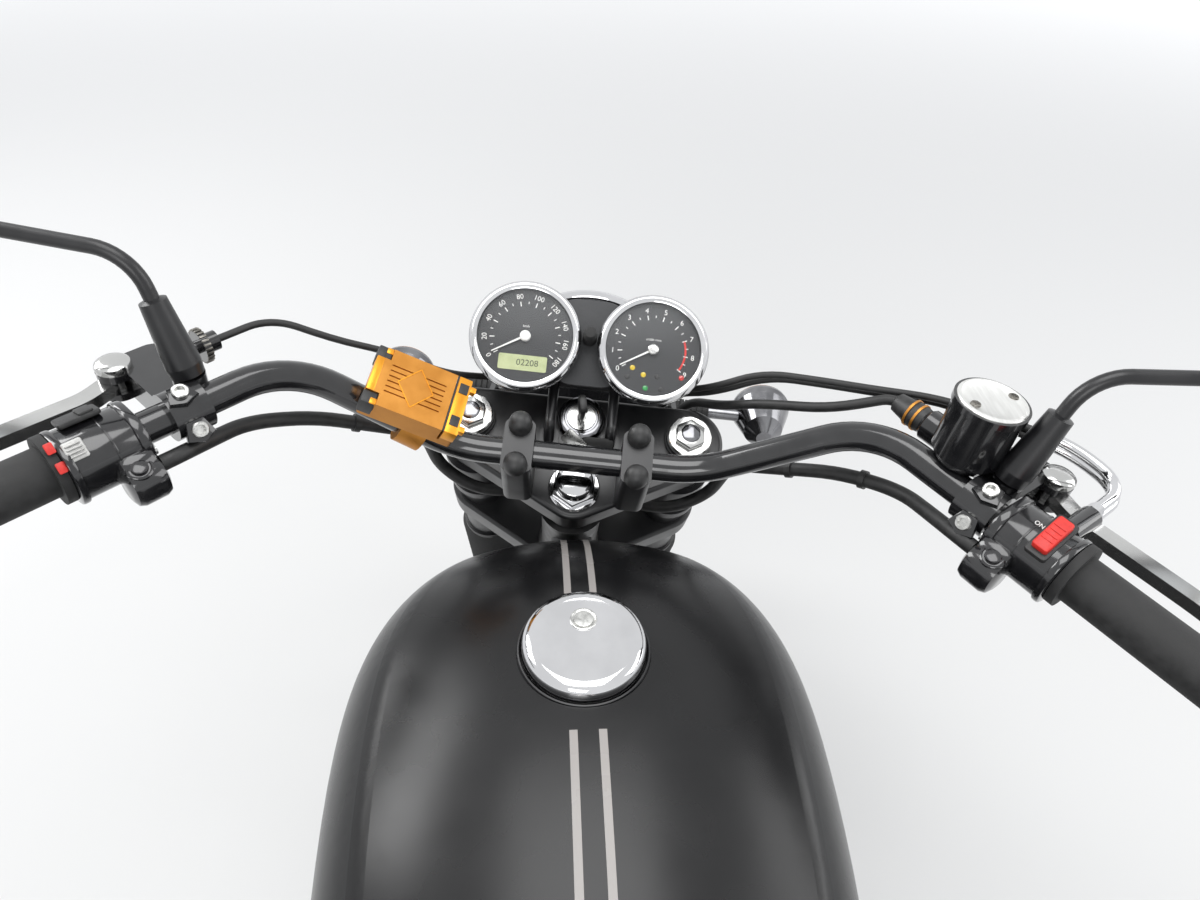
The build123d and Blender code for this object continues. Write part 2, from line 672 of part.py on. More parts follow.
# Front brake master cylinder with the round fluid pot above it, and the brake lever
MASTER_BACK = PERCH_BACK[-1] + 9
MASTER_AHEAD = 32.0
MASTER_ABOVE = 6.0
MASTER = [
    # along, radius: body, shoulder and the hose's union
    (0, 0), (0, 12), (63, 12), (67, 8.5), (79, 8.5), (79, 0),
]
POT_BACK = 229.0
POT_AHEAD = 16.0
POT_ABOVE = 12.0
POT = [
    # height, radius: foot, wall and lid
    (0, 0), (0, 20), (6, 24), (45, 24), (45, 25.5), (50, 25.5), (50, 0),
]
with BuildPart() as brake_master:
    add(perch(-1))
    add(round_along(at_bar(-1, MASTER_BACK, MASTER_AHEAD, MASTER_ABOVE), on_bar(-1, 0).z_dir * -1, MASTER))
    add(round_along(at_bar(-1, POT_BACK, POT_AHEAD, POT_ABOVE), up_at(-1), POT))
    with BuildSketch(on_bar(-1, POT_BACK + 40)):
        Circle(BAR_R)
    extrude(amount=80, mode=Mode.SUBTRACT)
keep(brake_master, "brake_master", FORK)
with BuildPart() as brake_lever:
    add(lever(-1))
keep(brake_lever, "brake_lever", FORK)

# Places on the fork assembly given level, ahead of, left of and above the top yoke's centre
LEVEL = FORK * Location((0, 0, 0), (0, RAKE, 0))

# Mirrors: a stem out of each perch and a round head
MIRROR_ROUTE = [
    # offsets from the perch's boss, level frame: ahead, outwards, up
    (0, 0, 0),
    (12, 24, 82),
]
MIRROR_HEAD = {1: (16, 172, 92), -1: (16, 150, 92)}
MIRROR_BEND = 34.0
MIRROR_R = 52.0
BOOT_TOP = 54.0
with BuildPart() as mirrors:
    for side in (1, -1):
        foot = at_bar(side, *MIRROR_FOOT[side], MIRROR_FOOT_ABOVE)
        route = MIRROR_ROUTE + [MIRROR_HEAD[side]]
        spots = [foot + Vector(*fork_point(a, side * out, up)) for a, out, up in route]
        add(tube(spots, 5, (MIRROR_BEND,)))
        rise = spots[1] - spots[0]
        add(round_along(foot, rise, [(0, 0), (0, 11), (8, 12), (BOOT_TOP, 9), (BOOT_TOP + 3, 0)]))
        face = Vector(*fork_point(-1, 0, 0.12)).normalized()
        back = [(-14, 0), (-14, 18), (-6, MIRROR_R - 8), (0, MIRROR_R), (8, MIRROR_R), (8, MIRROR_R - 3),
                (4, MIRROR_R - 3), (4, 0)]
        add(round_along(spots[-1], face, back))
    add(clutch_perch.part, mode=Mode.SUBTRACT)
    add(brake_master.part, mode=Mode.SUBTRACT)
keep(mirrors, "mirrors", FORK)

# Instruments on their plate
CLOCK_R = 46.0
CLOCK_HALF = 53.0
CLOCK_AHEAD = 106.0
CLOCK_ABOVE = 63.0
CLOCK_TILT = 48.0
CLOCK_DEPTH = 46.0
CLOCK_FACE = Vector(*fork_point(-cos(radians(CLOCK_TILT)), 0, sin(radians(CLOCK_TILT))))


def clock(side):
    """A dial in a bowl: bezel proud of the glass line, dial sunk behind it."""
    centre = Vector(CLOCK_AHEAD, side * CLOCK_HALF, CLOCK_ABOVE)
    return round_along(centre, CLOCK_FACE, [
        (-CLOCK_DEPTH, 0), (-CLOCK_DEPTH, 26), (-CLOCK_DEPTH + 8, 36), (-10, CLOCK_R - 3), (-10, CLOCK_R),
        (-2, CLOCK_R), (0, CLOCK_R - 2), (0, CLOCK_R - 5), (-5, CLOCK_R - 6), (-5, 0)])


with BuildPart() as clocks:
    add(clock(1))
    add(clock(-1))
keep(clocks, "clocks", FORK)

PLATE_BACK = CLOCK_DEPTH + SEAT_GAP
with BuildPart() as instrument_plate:
    middle = Vector(CLOCK_AHEAD, 0, CLOCK_ABOVE) - CLOCK_FACE * PLATE_BACK
    with BuildSketch(Plane(origin=middle, x_dir=(0, 1, 0), z_dir=-CLOCK_FACE)):
        SlotOverall(2 * CLOCK_HALF + 64, 62)
    extrude(amount=4)
    for side in (1, -1):
        near = Vector(BAR_CENTRE[0] + 33, side * 26, SEAT_GAP + 5)
        far = middle + Vector(0, side * 26, 0) - CLOCK_FACE * 4
        with BuildSketch(Plane.XY.offset(SEAT_GAP)):
            with Locations((near.X, near.Y)):
                RectangleRounded(20, 16, 4)
        extrude(amount=5)
        add(tube([near + Vector(0, 0, -1), near + Vector(8, 0, 12), far], 4.5, (8,)))
    add(clocks.part, mode=Mode.SUBTRACT)
keep(instrument_plate, "instrument_plate", FORK)

# Ignition switch with its key
SWITCH_F = FORK_OFFSET + 8
with BuildPart() as ignition:
    with BuildSketch(Plane.XY.offset(-YOKE_THICK - 24)):
        with Locations((SWITCH_F, 0)):
            Circle(19.5)
    extrude(amount=YOKE_THICK + 24 + 9)
    fillet(ignition.faces().sort_by(Axis.Z)[-1].edges(), 3)
    with BuildSketch(Plane.XY.offset(9)):
        with Locations((SWITCH_F, 0)):
            Rectangle(3, 9)
    extrude(amount=12)
    with BuildSketch(Plane(origin=(SWITCH_F, 0, 21), x_dir=(0, 1, 0), z_dir=(1, 0, 0))):
        with Locations((0, 11)):
            Ellipse(12, 14)
            Circle(3.5, mode=Mode.SUBTRACT)
    extrude(amount=1.5, both=True)
keep(ignition, "ignition_switch", FORK)

# Charger on the left of the bar: a grooved plate with a separate end bar, clamped round the tube
CHARGER = (72.0, 50.0, 20.0)
CHARGER_TOP = (25.0, 120.0, 111.0)
CHARGER_BAR = 11.0
CHARGER_ROWS = 6
CHARGER_PITCH = 4.6
with BuildPart() as charger:
    deck = Plane(origin=CHARGER_TOP, x_dir=(0.14, 0.92, 0.36), z_dir=Vector(0.13, -0.38, 0.92))
    with BuildSketch(deck):
        RectangleRounded(*CHARGER[:2], 2)
    extrude(amount=-CHARGER[2])
    with BuildSketch(deck):
        for end_y in (1, -1):
            with Locations((CHARGER[0] / 2 - 5, end_y * (CHARGER[1] / 2 - 5))):
                Rectangle(10, 10)
    extrude(amount=-CHARGER[2] / 2, mode=Mode.SUBTRACT)
    with BuildSketch(deck):
        with Locations((CHARGER_BAR - CHARGER[0] / 2, 0)):
            Rectangle(1.6, CHARGER[1])
    extrude(amount=-CHARGER[2] * 0.7, mode=Mode.SUBTRACT)
    with BuildSketch(deck):
        for row in range(CHARGER_ROWS):
            across = (row - (CHARGER_ROWS - 1) / 2) * CHARGER_PITCH
            start = 13 - abs(across) * 0.75
            for end_x in (1, -1):
                with Locations((3 + end_x * (start + 21) / 2, across)):
                    Rectangle(21 - start, 1.2)
    extrude(amount=-1.2, mode=Mode.SUBTRACT)
    bar_run = (Vector(*half_bar[1]) - Vector(*half_bar[0])).normalized()
    clamp_at = Vector(*half_bar[0]) + bar_run * 38
    foot = Plane(origin=clamp_at, x_dir=(1, 0, 0), z_dir=bar_run)
    with BuildSketch(foot):
        Circle(17)
        with Locations((4, 17) if foot.y_dir.Z > 0 else (4, -17)):
            Rectangle(26, 24)
    extrude(amount=10, both=True)
    with BuildSketch(deck.offset(1)):
        Rectangle(2 * CHARGER[0], 2 * CHARGER[1])
    extrude(amount=20, mode=Mode.SUBTRACT)
    add(handlebar.part, mode=Mode.SUBTRACT)
keep(charger, "charger", FORK)

# Headlamp on its two ears
LAMP_R = 88.0
LAMP_DEPTH = 105.0
with BuildPart() as headlamp:
    add(round_along((LAMP_AHEAD, 0, LAMP_ABOVE), (1, 0, 0), [
        (-LAMP_DEPTH, 0), (-LAMP_DEPTH, 26), (-LAMP_DEPTH + 16, 52), (-58, 74), (-24, LAMP_R - 3),
        (0, LAMP_R - 2), (0, 0)]))
    for side in (1, -1):
        near = (LAMP_AHEAD - LAMP_STUD_BACK, side * 60, LAMP_ABOVE)
        add(round_along(near, (0, side, 0), [(0, 0), (0, 9), (EAR_Y - EAR_THICK / 2 - SEAT_GAP - 60, 9),
                                             (EAR_Y - EAR_THICK / 2 - SEAT_GAP - 60, 0)]))
keep(headlamp, "headlamp_shell", LEVEL)

with BuildPart() as lamp_ring:
    add(round_along((LAMP_AHEAD, 0, LAMP_ABOVE), (1, 0, 0), [
        (SEAT_GAP, 0), (SEAT_GAP, LAMP_R), (6, LAMP_R + 2), (14, LAMP_R), (18, LAMP_R - 6), (20, LAMP_R - 9),
        (27, LAMP_R - 34), (31, 30), (32, 0)]))
keep(lamp_ring, "headlamp_lens", LEVEL)


def slab(points, y_from, y_to):
    """A plate with an outline in the XZ plane, between two distances left of the centre."""
    with BuildPart(mode=Mode.PRIVATE) as made:
        with BuildSketch(Plane(origin=(0, y_to, 0), x_dir=(1, 0, 0), z_dir=(0, -1, 0))):
            with BuildLine():
                Polyline(*points, close=True)
            make_face()
        extrude(amount=y_to - y_from)
    return made.part


def disc(x, z, y_from, y_to, radius):
    """A round boss along Y."""
    with BuildPart(mode=Mode.PRIVATE) as made:
        with BuildSketch(Plane(origin=(x, y_to, z), x_dir=(1, 0, 0), z_dir=(0, -1, 0))):
            Circle(radius)
        extrude(amount=y_to - y_from)
    return made.part


# Main frame: head tube, backbone and twin cradle
STAND_PIVOT = (-285.0, 240.0)
STAND_PIN_R = 8.0
PLATE_Y = (57.0, 63.0)
REAR_TUBE_Y = 62.0
UPPER_TUBE_Y = 84.0
SIDE_PIVOT = (20.0, 116.0, 203.0)
SIDE_AXIS = Vector(0, -0.935, -0.356).normalized()
SIDE_PIN_R = 5.0
CRADLE_Z = 194.0
SPINE_FRONT = (STEER_X + 36, 0, TOP_YOKE_Z - 83)
SPINE_REAR = (-196, 0, 734)
CRADLE = [
    # x, half span, z and the bend there
    (STEER_X + 40, 10, TOP_YOKE_Z - 119, 0),
    (STEER_X + 20, 34, TOP_YOKE_Z - 187, 60),
    (276, 50, 480, 260),
    (240, 84, CRADLE_Z, 80),
    (-200, 84, CRADLE_Z, 70),
    (-262, REAR_TUBE_Y, 300, 90),
    (-256, REAR_TUBE_Y, 440, 120),
    (-240, UPPER_TUBE_Y, 590, 120),
    (-196, UPPER_TUBE_Y, 734, 0),
]
TUNNEL_HALF = 25.0
TANK_PAD_X = 286.0
TANK_PAD_Z = SPINE_FRONT[2] - 22
with BuildPart() as main_frame:
    add(tube([SPINE_FRONT, SPINE_REAR], BACKBONE_R))
    for side in (1, -1):
        corners = [(x, side * y, z) for x, y, z, bend in CRADLE]
        add(tube(corners, CRADLE_R, [c[3] for c in CRADLE[1:-1]]))
        add(slab([(-196.4, 290), (-225, 270), (-225, 225), (-270, 222), (-297, 232), (-297, 252), (-276, 310),
                  (-262, 420), (-190.6, 414)],
                 *sorted((side * PLATE_Y[0], side * PLATE_Y[1]))))
    add(disc(TANK_PAD_X, TANK_PAD_Z, 0.3 - TUNNEL_HALF, TUNNEL_HALF - 0.3, 11))
    for x, z, half in ((-196, 734, UPPER_TUBE_Y), (-206, CRADLE_Z, 84), (246, CRADLE_Z + 6, 80)):
        add(tube([(x, -half, z), (x, half, z)], CRADLE_R - 1))
    add(disc(PIVOT_X, PIVOT_Z, -76, 76, PIVOT_R))
    add(disc(*STAND_PIVOT, -66, 66, STAND_PIN_R))
    arm = Vector(*SIDE_PIVOT)
    add(tube([(SIDE_PIVOT[0], 86, CRADLE_Z), arm + SIDE_AXIS * 9], 9))
    add(round_along(arm, SIDE_AXIS, [(-9, 0), (-9, SIDE_PIN_R), (5.3, SIDE_PIN_R), (5.3, 13), (13, 13), (13, 0)]))
    head_low, head_high = LOWER_YOKE_TOP + BEARING_THICK + 0.2, -YOKE_THICK - 2 * SEAT_GAP - BEARING_THICK
    head = [(head_low, 0), (head_low, HEAD_TUBE_R + 3), (head_low + 14, HEAD_TUBE_R), (head_high - 14, HEAD_TUBE_R),
            (head_high, HEAD_TUBE_R + 3), (head_high, 0)]
    axis_up = Vector(-sin(radians(RAKE)), 0, cos(radians(RAKE)))
    yoke_centre = Vector(STEER_X, 0, TOP_YOKE_Z)
    add(round_along(yoke_centre, axis_up, head))
    bore = STEM_R + RUNNING_GAP
    add(round_along(yoke_centre, axis_up, [(head_low, 0), (head_low, bore), (head_high, bore), (head_high, 0)]),
        mode=Mode.SUBTRACT)
keep(main_frame, "main_frame")

# Seat rails, struts and rear loop
RAIL_R = 12.5
RAIL = [
    (-200, UPPER_TUBE_Y, 740, 0),
    (-300, RAIL_HALF, RAIL_Z - 4, 120),
    (-600, RAIL_HALF, RAIL_Z, 200),
    (-745, 84, RAIL_Z, 60),
]
with BuildPart() as subframe:
    left = [(x, y, z) for x, y, z, bend in RAIL]
    bends = [r[3] for r in RAIL[1:]]
    add(tube(left + mirrored(left[::-1]), RAIL_R, bends + bends[::-1]))
    add(tube([(-600, -RAIL_HALF, RAIL_Z), (-600, RAIL_HALF, RAIL_Z)], 9))
    add(tube([(-430, -RAIL_HALF, RAIL_Z - 2), (-430, RAIL_HALF, RAIL_Z - 2)], 9))
    for side in (1, -1):
        add(tube([(-262, side * 72, 448), (-585, side * RAIL_HALF, 742)], 10))
        add(disc(SHOCK_TOP[0], SHOCK_TOP[1], *sorted((side * 92, side * 158)), 7))
    add(main_frame.part, mode=Mode.SUBTRACT)
keep(subframe, "subframe")

# Swinging arm with the rear axle and the brake's back plate
ARM_CROSS_X = -330.0
ARM_CROSS_Z = 388.0
ARM_HALF = 120.0
SHOCK_Y = 142.0
with BuildPart() as swingarm:
    add(disc(PIVOT_X, PIVOT_Z, -46, 46, 20))
    add(disc(ARM_CROSS_X, ARM_CROSS_Z, -ARM_HALF, ARM_HALF, 17))
    for side in (1, -1):
        add(tube([(PIVOT_X, side * 30, PIVOT_Z), (ARM_CROSS_X, side * 30, ARM_CROSS_Z)], 15))
        with BuildSketch(Plane(origin=(ARM_CROSS_X, side * ARM_HALF, ARM_CROSS_Z), x_dir=(0, 1, 0),
                               z_dir=(REAR_AXLE_X - 22 - ARM_CROSS_X, 0, REAR_AXLE_Z - ARM_CROSS_Z))):
            RectangleRounded(24, 42, 8)
        extrude(amount=hypot(REAR_AXLE_X - 22 - ARM_CROSS_X, REAR_AXLE_Z - ARM_CROSS_Z))
        add(disc(SHOCK_LOW[0], SHOCK_LOW[1], *sorted((side * 112, side * 158)), 7))
        add(disc(SHOCK_LOW[0], SHOCK_LOW[1] - 14, *sorted((side * 110, side * 130)), 16))
        add(disc(REAR_AXLE_X, REAR_AXLE_Z, *sorted((side * 134, side * 146)), 15))
    add(disc(REAR_AXLE_X, REAR_AXLE_Z, -140, 140, AXLE_R))
    add(disc(REAR_AXLE_X, REAR_AXLE_Z, 96, 110, 14))
    add(disc(REAR_AXLE_X, REAR_AXLE_Z, -110, -50, 14))
    add(disc(REAR_AXLE_X, REAR_AXLE_Z, -62, -46, 86))
    add(slab([(REAR_AXLE_X - 15, REAR_AXLE_Z - 88), (REAR_AXLE_X + 15, REAR_AXLE_Z - 88),
              (REAR_AXLE_X + 22, REAR_AXLE_Z - 47), (REAR_AXLE_X - 22, REAR_AXLE_Z - 47)], -62, -50))
    add(disc(PIVOT_X, PIVOT_Z, -47, 47, PIVOT_R), mode=Mode.SUBTRACT)
keep(swingarm, "swingarm")

# Rear hub and sprocket
CHAIN_PITCH = 15.875
CHAIN_Y = 91.0
CHAIN_HALF = 8.0
CHAIN_DEPTH = 7.0
REAR_TEETH = 37
FRONT_TEETH = 15
REAR_PITCH_R = CHAIN_PITCH / 2 / sin(radians(180 / REAR_TEETH))
FRONT_PITCH_R = CHAIN_PITCH / 2 / sin(radians(180 / FRONT_TEETH))
FRONT_SPROCKET = (-150.0, 372.0)
with BuildPart() as rear_hub:
    add(turned(REAR_HUB, [
        (-44, HUB_BORE), (-44, 80), (-36, REAR_FLANGE_R), (-26, REAR_FLANGE_R), (-22, 78), (22, 78),
        (26, REAR_FLANGE_R), (36, REAR_FLANGE_R), (44, 76), (60, 60), (86, 46), (86, 30), (95, 30), (95, HUB_BORE)]))
    add(rear_spokes.part)
keep(rear_hub, "rear_hub")
with BuildPart() as sprocket:
    with BuildSketch(Plane(origin=(REAR_AXLE_X, CHAIN_Y, REAR_AXLE_Z), x_dir=(1, 0, 0), z_dir=(0, -1, 0))):
        Circle(REAR_PITCH_R - CHAIN_DEPTH - 0.4)
        Circle(46, mode=Mode.SUBTRACT)
        with PolarLocations(66, 5):
            SlotCenterToCenter(18, 15, rotation=90, mode=Mode.SUBTRACT)
    extrude(amount=3.5, both=True)
    add(turned(REAR_HUB, [(86.2, 30.1), (86.2, 50), (94, 50), (94, 30.1)]))
keep(sprocket, "rear_sprocket")

with BuildPart() as chain:
    with BuildSketch(Plane(origin=(0, CHAIN_Y, 0), x_dir=(1, 0, 0), z_dir=(0, -1, 0))):
        for grow, how in ((CHAIN_DEPTH, Mode.ADD), (-CHAIN_DEPTH, Mode.SUBTRACT)):
            with BuildSketch(mode=Mode.PRIVATE) as rounds:
                with Locations((REAR_AXLE_X, REAR_AXLE_Z)):
                    Circle(REAR_PITCH_R + grow)
                with Locations(FRONT_SPROCKET):
                    Circle(FRONT_PITCH_R + grow)
            make_hull(rounds.sketch.edges(), mode=how)
    extrude(amount=CHAIN_HALF, both=True)
keep(chain, "drive_chain")

# Rear shocks and springs
with BuildPart() as shocks:
    for side in (1, -1):
        top = Vector(SHOCK_TOP[0], side * SHOCK_Y, SHOCK_TOP[1])
        low = Vector(SHOCK_LOW[0], side * SHOCK_Y, SHOCK_LOW[1])
        span = (top - low).length
        add(round_along(low, top - low, [(0, 0), (0, 12), (30, 12), (42, 21), (140, 21), (140, 7), (span - 50, 7),
                                         (span - 50, 27), (span - 20, 27), (span, 10), (span, 0)]))
        for spot in (low, top):
            add(disc(spot.X, spot.Z, *sorted((side * (SHOCK_Y - 12), side * (SHOCK_Y + 12))), 15))
        for spot in (low, top):
            across = sorted((side * (SHOCK_Y - 40), side * (SHOCK_Y + 40)))
            add(disc(spot.X, spot.Z, *across, 7.05), mode=Mode.SUBTRACT)
keep(shocks, "rear_shocks")

SPRING_R = 31.0
SPRING_TURNS = 12
with BuildPart() as springs:
    for side in (1, -1):
        top = Vector(SHOCK_TOP[0], side * SHOCK_Y, SHOCK_TOP[1])
        low = Vector(SHOCK_LOW[0], side * SHOCK_Y, SHOCK_LOW[1])
        span = (top - low).length
        ring = [(55, 21.3), (55, SPRING_R)]
        for n in range(SPRING_TURNS):
            start = 62 + n * (span - 118) / SPRING_TURNS
            ring += [(start, SPRING_R), (start, SPRING_R + 4), (start + 8, SPRING_R + 4), (start + 8, SPRING_R)]
        ring += [(span - 50.3, SPRING_R), (span - 50.3, 21.3)]
        add(round_along(low, top - low, ring))
keep(springs, "shock_springs")

# Crankcase, covers, cylinders and head
with BuildPart() as crankcase:
    add(slab([(215, 300), (190, 226), (-150, 212), (-196, 285), (-190, 420), (-150, 452), (-95, 470), (150, 470),
              (205, 400)], -76, 76))
    add(slab([(215, 300), (190, 226), (-92, 214), (-92, 470), (150, 470), (205, 400)], -95, 95))
    for side in (1, -1):
        add(slab([(200, 286), (248, 286), (248, 312), (200, 312)], *sorted((side * 62, side * 80))))
    add(main_frame.part, mode=Mode.SUBTRACT)
keep(crankcase, "crankcase")
COVER_LEFT = ((110, 345, 84), (-128, 372, 62))
COVER_RIGHT = ((108, 340, 74), (-62, 345, 92))
with BuildPart(mode=Mode.PRIVATE) as covers_left:
    with BuildSketch(Plane(origin=(0, 124, 0), x_dir=(1, 0, 0), z_dir=(0, -1, 0))):
        with BuildSketch(mode=Mode.PRIVATE) as rounds:
            for x, z, r in COVER_LEFT:
                with Locations((x, z)):
                    Circle(r)
        make_hull(rounds.sketch.edges())
    extrude(amount=124 - 95 - SEAT_GAP)
    add(box_between((-260, 60, 200), (-88, 103, 480)), mode=Mode.SUBTRACT)
    fillet(covers_left.faces().sort_by(Axis.Y)[-1].edges(), 8)
with BuildPart(mode=Mode.PRIVATE) as covers_right:
    with BuildSketch(Plane(origin=(0, -95 - SEAT_GAP, 0), x_dir=(1, 0, 0), z_dir=(0, -1, 0))):
        with BuildSketch(mode=Mode.PRIVATE) as rounds:
            for x, z, r in COVER_RIGHT:
                with Locations((x, z)):
                    Circle(r)
        make_hull(rounds.sketch.edges())
    extrude(amount=124 - 95 - SEAT_GAP)
    add(box_between((-260, -96, 200), (-95, -60, 480)), mode=Mode.SUBTRACT)
    fillet(covers_right.faces().sort_by(Axis.Y)[0].edges(), 8)
with BuildPart() as engine_covers:
    add(covers_left.part)
    add(covers_right.part)
keep(engine_covers, "engine_covers")

FIN_THICK = 3.0
FIN_COUNT = 9
BARREL = (150.0, 214.0)
FIN_SPREAD = (188.0, 250.0)
with BuildPart() as cylinders:
    with BuildSketch(Plane.XY.offset(CASE_TOP + SEAT_GAP)):
        with Locations((CRANK_X - 5, 0)):
            RectangleRounded(*BARREL, 40)
    extrude(amount=CYLINDER_TOP - CASE_TOP - 2 * SEAT_GAP)
    pitch = (CYLINDER_TOP - CASE_TOP - 18) / (FIN_COUNT - 1)
    for n in range(FIN_COUNT):
        with BuildSketch(Plane.XY.offset(CASE_TOP + 8 + n * pitch)):
            with Locations((CRANK_X - 5, 0)):
                RectangleRounded(*FIN_SPREAD, 44)
        extrude(amount=FIN_THICK)
keep(cylinders, "cylinders")

HEAD_FINS = 4
PORT_Y = 60.0
PORT_Z = 654.0
PORT_REACH = 92.0
INTAKE_Y = 45.0
INTAKE_Z = 662.0
with BuildPart() as cylinder_head:
    with BuildSketch(Plane.XY.offset(CYLINDER_TOP)):
        with Locations((CRANK_X - 5, 0)):
            RectangleRounded(150, 206, 36)
    extrude(amount=70)
    for n in range(HEAD_FINS):
        with BuildSketch(Plane.XY.offset(CYLINDER_TOP + 4 + n * 17)):
            with Locations((CRANK_X - 5, 0)):
                RectangleRounded(186, 242, 44)
        extrude(amount=FIN_THICK)
    with BuildSketch(Plane.XY.offset(CYLINDER_TOP + 70)):
        with Locations((CRANK_X - 5, 0)):
            RectangleRounded(126, 200, 40)
    extrude(amount=26)
    fillet(cylinder_head.faces().sort_by(Axis.Z)[-1].edges(), 12)
    for side in (1, -1):
        port = [(0, 0), (0, 25), (PORT_REACH, 25), (PORT_REACH, 0)]
        add(round_along((CRANK_X, side * PORT_Y, PORT_Z), (1, 0, 0), port))
        add(round_along((CRANK_X - 10, side * INTAKE_Y, INTAKE_Z), (-1, 0, 0),
                        [(0, 0), (0, 25), (PORT_REACH, 25), (PORT_REACH, 0)]))
keep(cylinder_head, "cylinder_head")

# Fuel tank over the backbone
TANK_TOP = 944.0
TANK_SECTIONS = [
    # x, half width, bottom, top
    (364, 62, 812, 868),
    (334, 108, 800, 900),
    (285, 150, 784, 928),
    (200, 176, 766, TANK_TOP),
    (70, 177, 758, 940),
    (-70, 150, 758, 906),
    (-165, 98, 768, 850),
]
CAP_X = 196.0
CAP_R = 42.5
CAP_WELL_R = 46.0
CAP_WELL = 10.0
with BuildPart() as tank:
    for x, half, low, top in TANK_SECTIONS:
        rise = top - low
        with BuildSketch(Plane(origin=(x, 0, 0), x_dir=(0, 1, 0), z_dir=(1, 0, 0))) as section:
            with BuildLine():
                shoulder = (half * 0.78, low + rise * 0.84)
                Line((-half * 0.8, low), (half * 0.8, low))
                ThreePointArc((half * 0.8, low), (half, low + rise * 0.42), shoulder)
                ThreePointArc(shoulder, (0, top), (-shoulder[0], shoulder[1]))
                ThreePointArc((-shoulder[0], shoulder[1]), (-half, low + rise * 0.42), (-half * 0.8, low))
            make_face()
            fillet(section.vertices().sort_by(Axis.Y)[:2], 12)
            fillet(section.vertices().sort_by(Axis.Y)[-2:], half * 0.24)
    loft()
    tunnel = slab([(430, 882), (-190, 772), (-190, 690), (430, 690)], -TUNNEL_HALF, TUNNEL_HALF)
    add(tunnel, mode=Mode.SUBTRACT)
    well = [(0, 0), (0, CAP_WELL_R), (30, CAP_WELL_R), (30, 0)]
    add(round_along((CAP_X, 0, TANK_TOP - CAP_WELL), (0, 0, 1), well), mode=Mode.SUBTRACT)
keep(tank, "fuel_tank")
with BuildPart() as fuel_cap:
    add(round_along((CAP_X, 0, TANK_TOP - CAP_WELL + 0.3), (0, 0, 1), [
        (0, 0), (0, CAP_R - 1), (8, CAP_R - 1), (9, CAP_R), (19, CAP_R), (22, CAP_R - 3), (23, CAP_R - 8),
        (23, 0)]))
keep(fuel_cap, "fuel_cap")

# Seat: a flat pad with a low hump behind
SEAT_BASE = RAIL_Z + RAIL_R + 0.3
SEAT_HALF = 112.0
SEAT_PROFILE = [
    # x, z, rounding
    (-178, SEAT_BASE, 6),
    (-176, 812, 10),
    (-236, 796, 60),
    (-470, 796, 120),
    (-560, 812, 60),
    (-596, 850, 30),
    (-690, 850, 40),
    (-728, 800, 20),
    (-728, SEAT_BASE, 8),
]
with BuildPart() as seat:
    with BuildSketch(Plane(origin=(0, SEAT_HALF, 0), x_dir=(1, 0, 0), z_dir=(0, -1, 0))) as profile:
        with BuildLine():
            Polyline(*[(x, z) for x, z, rounding in SEAT_PROFILE], close=True)
        make_face()
        for x, z, rounding in SEAT_PROFILE:
            fillet(profile.vertices().sort_by_distance((x, z))[0], rounding)
    extrude(amount=2 * SEAT_HALF)
keep(seat, "seat")

# Air box, throttle bodies and side covers
with BuildPart() as air_box:
    add(slab([(-285, 500), (-360, 500), (-385, 560), (-428, 640), (-428, 736), (-285, 736)], -60, 60))
    fillet(air_box.edges().filter_by(Axis.Y), 8)
keep(air_box, "air_box")
AIR_BOX_FRONT = -285.0
INTAKE_SPAN = CRANK_X - 10 - PORT_REACH - SEAT_GAP - AIR_BOX_FRONT - SEAT_GAP
with BuildPart() as throttles:
    for side in (1, -1):
        start = (CRANK_X - 10 - PORT_REACH - SEAT_GAP, side * INTAKE_Y, INTAKE_Z)
        add(round_along(start, (-1, 0, 0), [
            (0, 0), (0, 27), (6, 27), (6, 22), (22, 22), (22, 30), (80, 30), (80, 23), (110, 21),
            (INTAKE_SPAN, 20),
            (INTAKE_SPAN, 0)]))
        add(round_along((start[0] - 51, start[1], start[2] - 52), (0, 0, 1), [
            (0, 0), (0, 20), (30, 25), (96, 25), (104, 18), (104, 0)]))
keep(throttles, "throttle_bodies")
with BuildPart() as side_covers:
    for side in (1, -1):
        inner = RAIL_HALF + RAIL_R + 0.4
        add(slab([(-215, 738), (-300, 750), (-480, 750), (-452, 640), (-372, 520), (-300, 484), (-222, 500)],
                 *sorted((side * inner, side * (inner + 8)))))
    fillet(side_covers.edges().filter_by(Axis.Y), 14)
keep(side_covers, "side_covers")

# Exhaust: headers round the engine and long silencers
PIPE_R = 19.0
SILENCER_R = 43.0
PIPE = [
    # x, half span, z, bend
    (CRANK_X + PORT_REACH + SEAT_GAP, PORT_Y, PORT_Z, 0),
    (258, PORT_Y, PORT_Z, 66),
    (290, 94, 430, 150),
    (232, 112, 244, 100),
    (60, 138, 238, 300),
    (-130, 162, 258, 0),
]
SILENCER_END = (-770, 174, 290)
with BuildPart() as exhaust:
    for side in (1, -1):
        corners = [(x, side * y, z) for x, y, z, bend in PIPE]
        add(tube(corners, PIPE_R, [c[3] for c in PIPE[1:-1]]))
        near = Vector(*corners[-1])
        far = Vector(SILENCER_END[0], side * SILENCER_END[1], SILENCER_END[2])
        span = (far - near).length
        add(round_along(near, far - near, [
            (-10, 0), (-10, PIPE_R + 3), (30, PIPE_R + 3), (120, SILENCER_R), (span - 170, SILENCER_R),
            (span - 10, 29), (span, 29), (span, 23), (span - 80, 23), (span - 80, 0)]))
keep(exhaust, "exhaust")

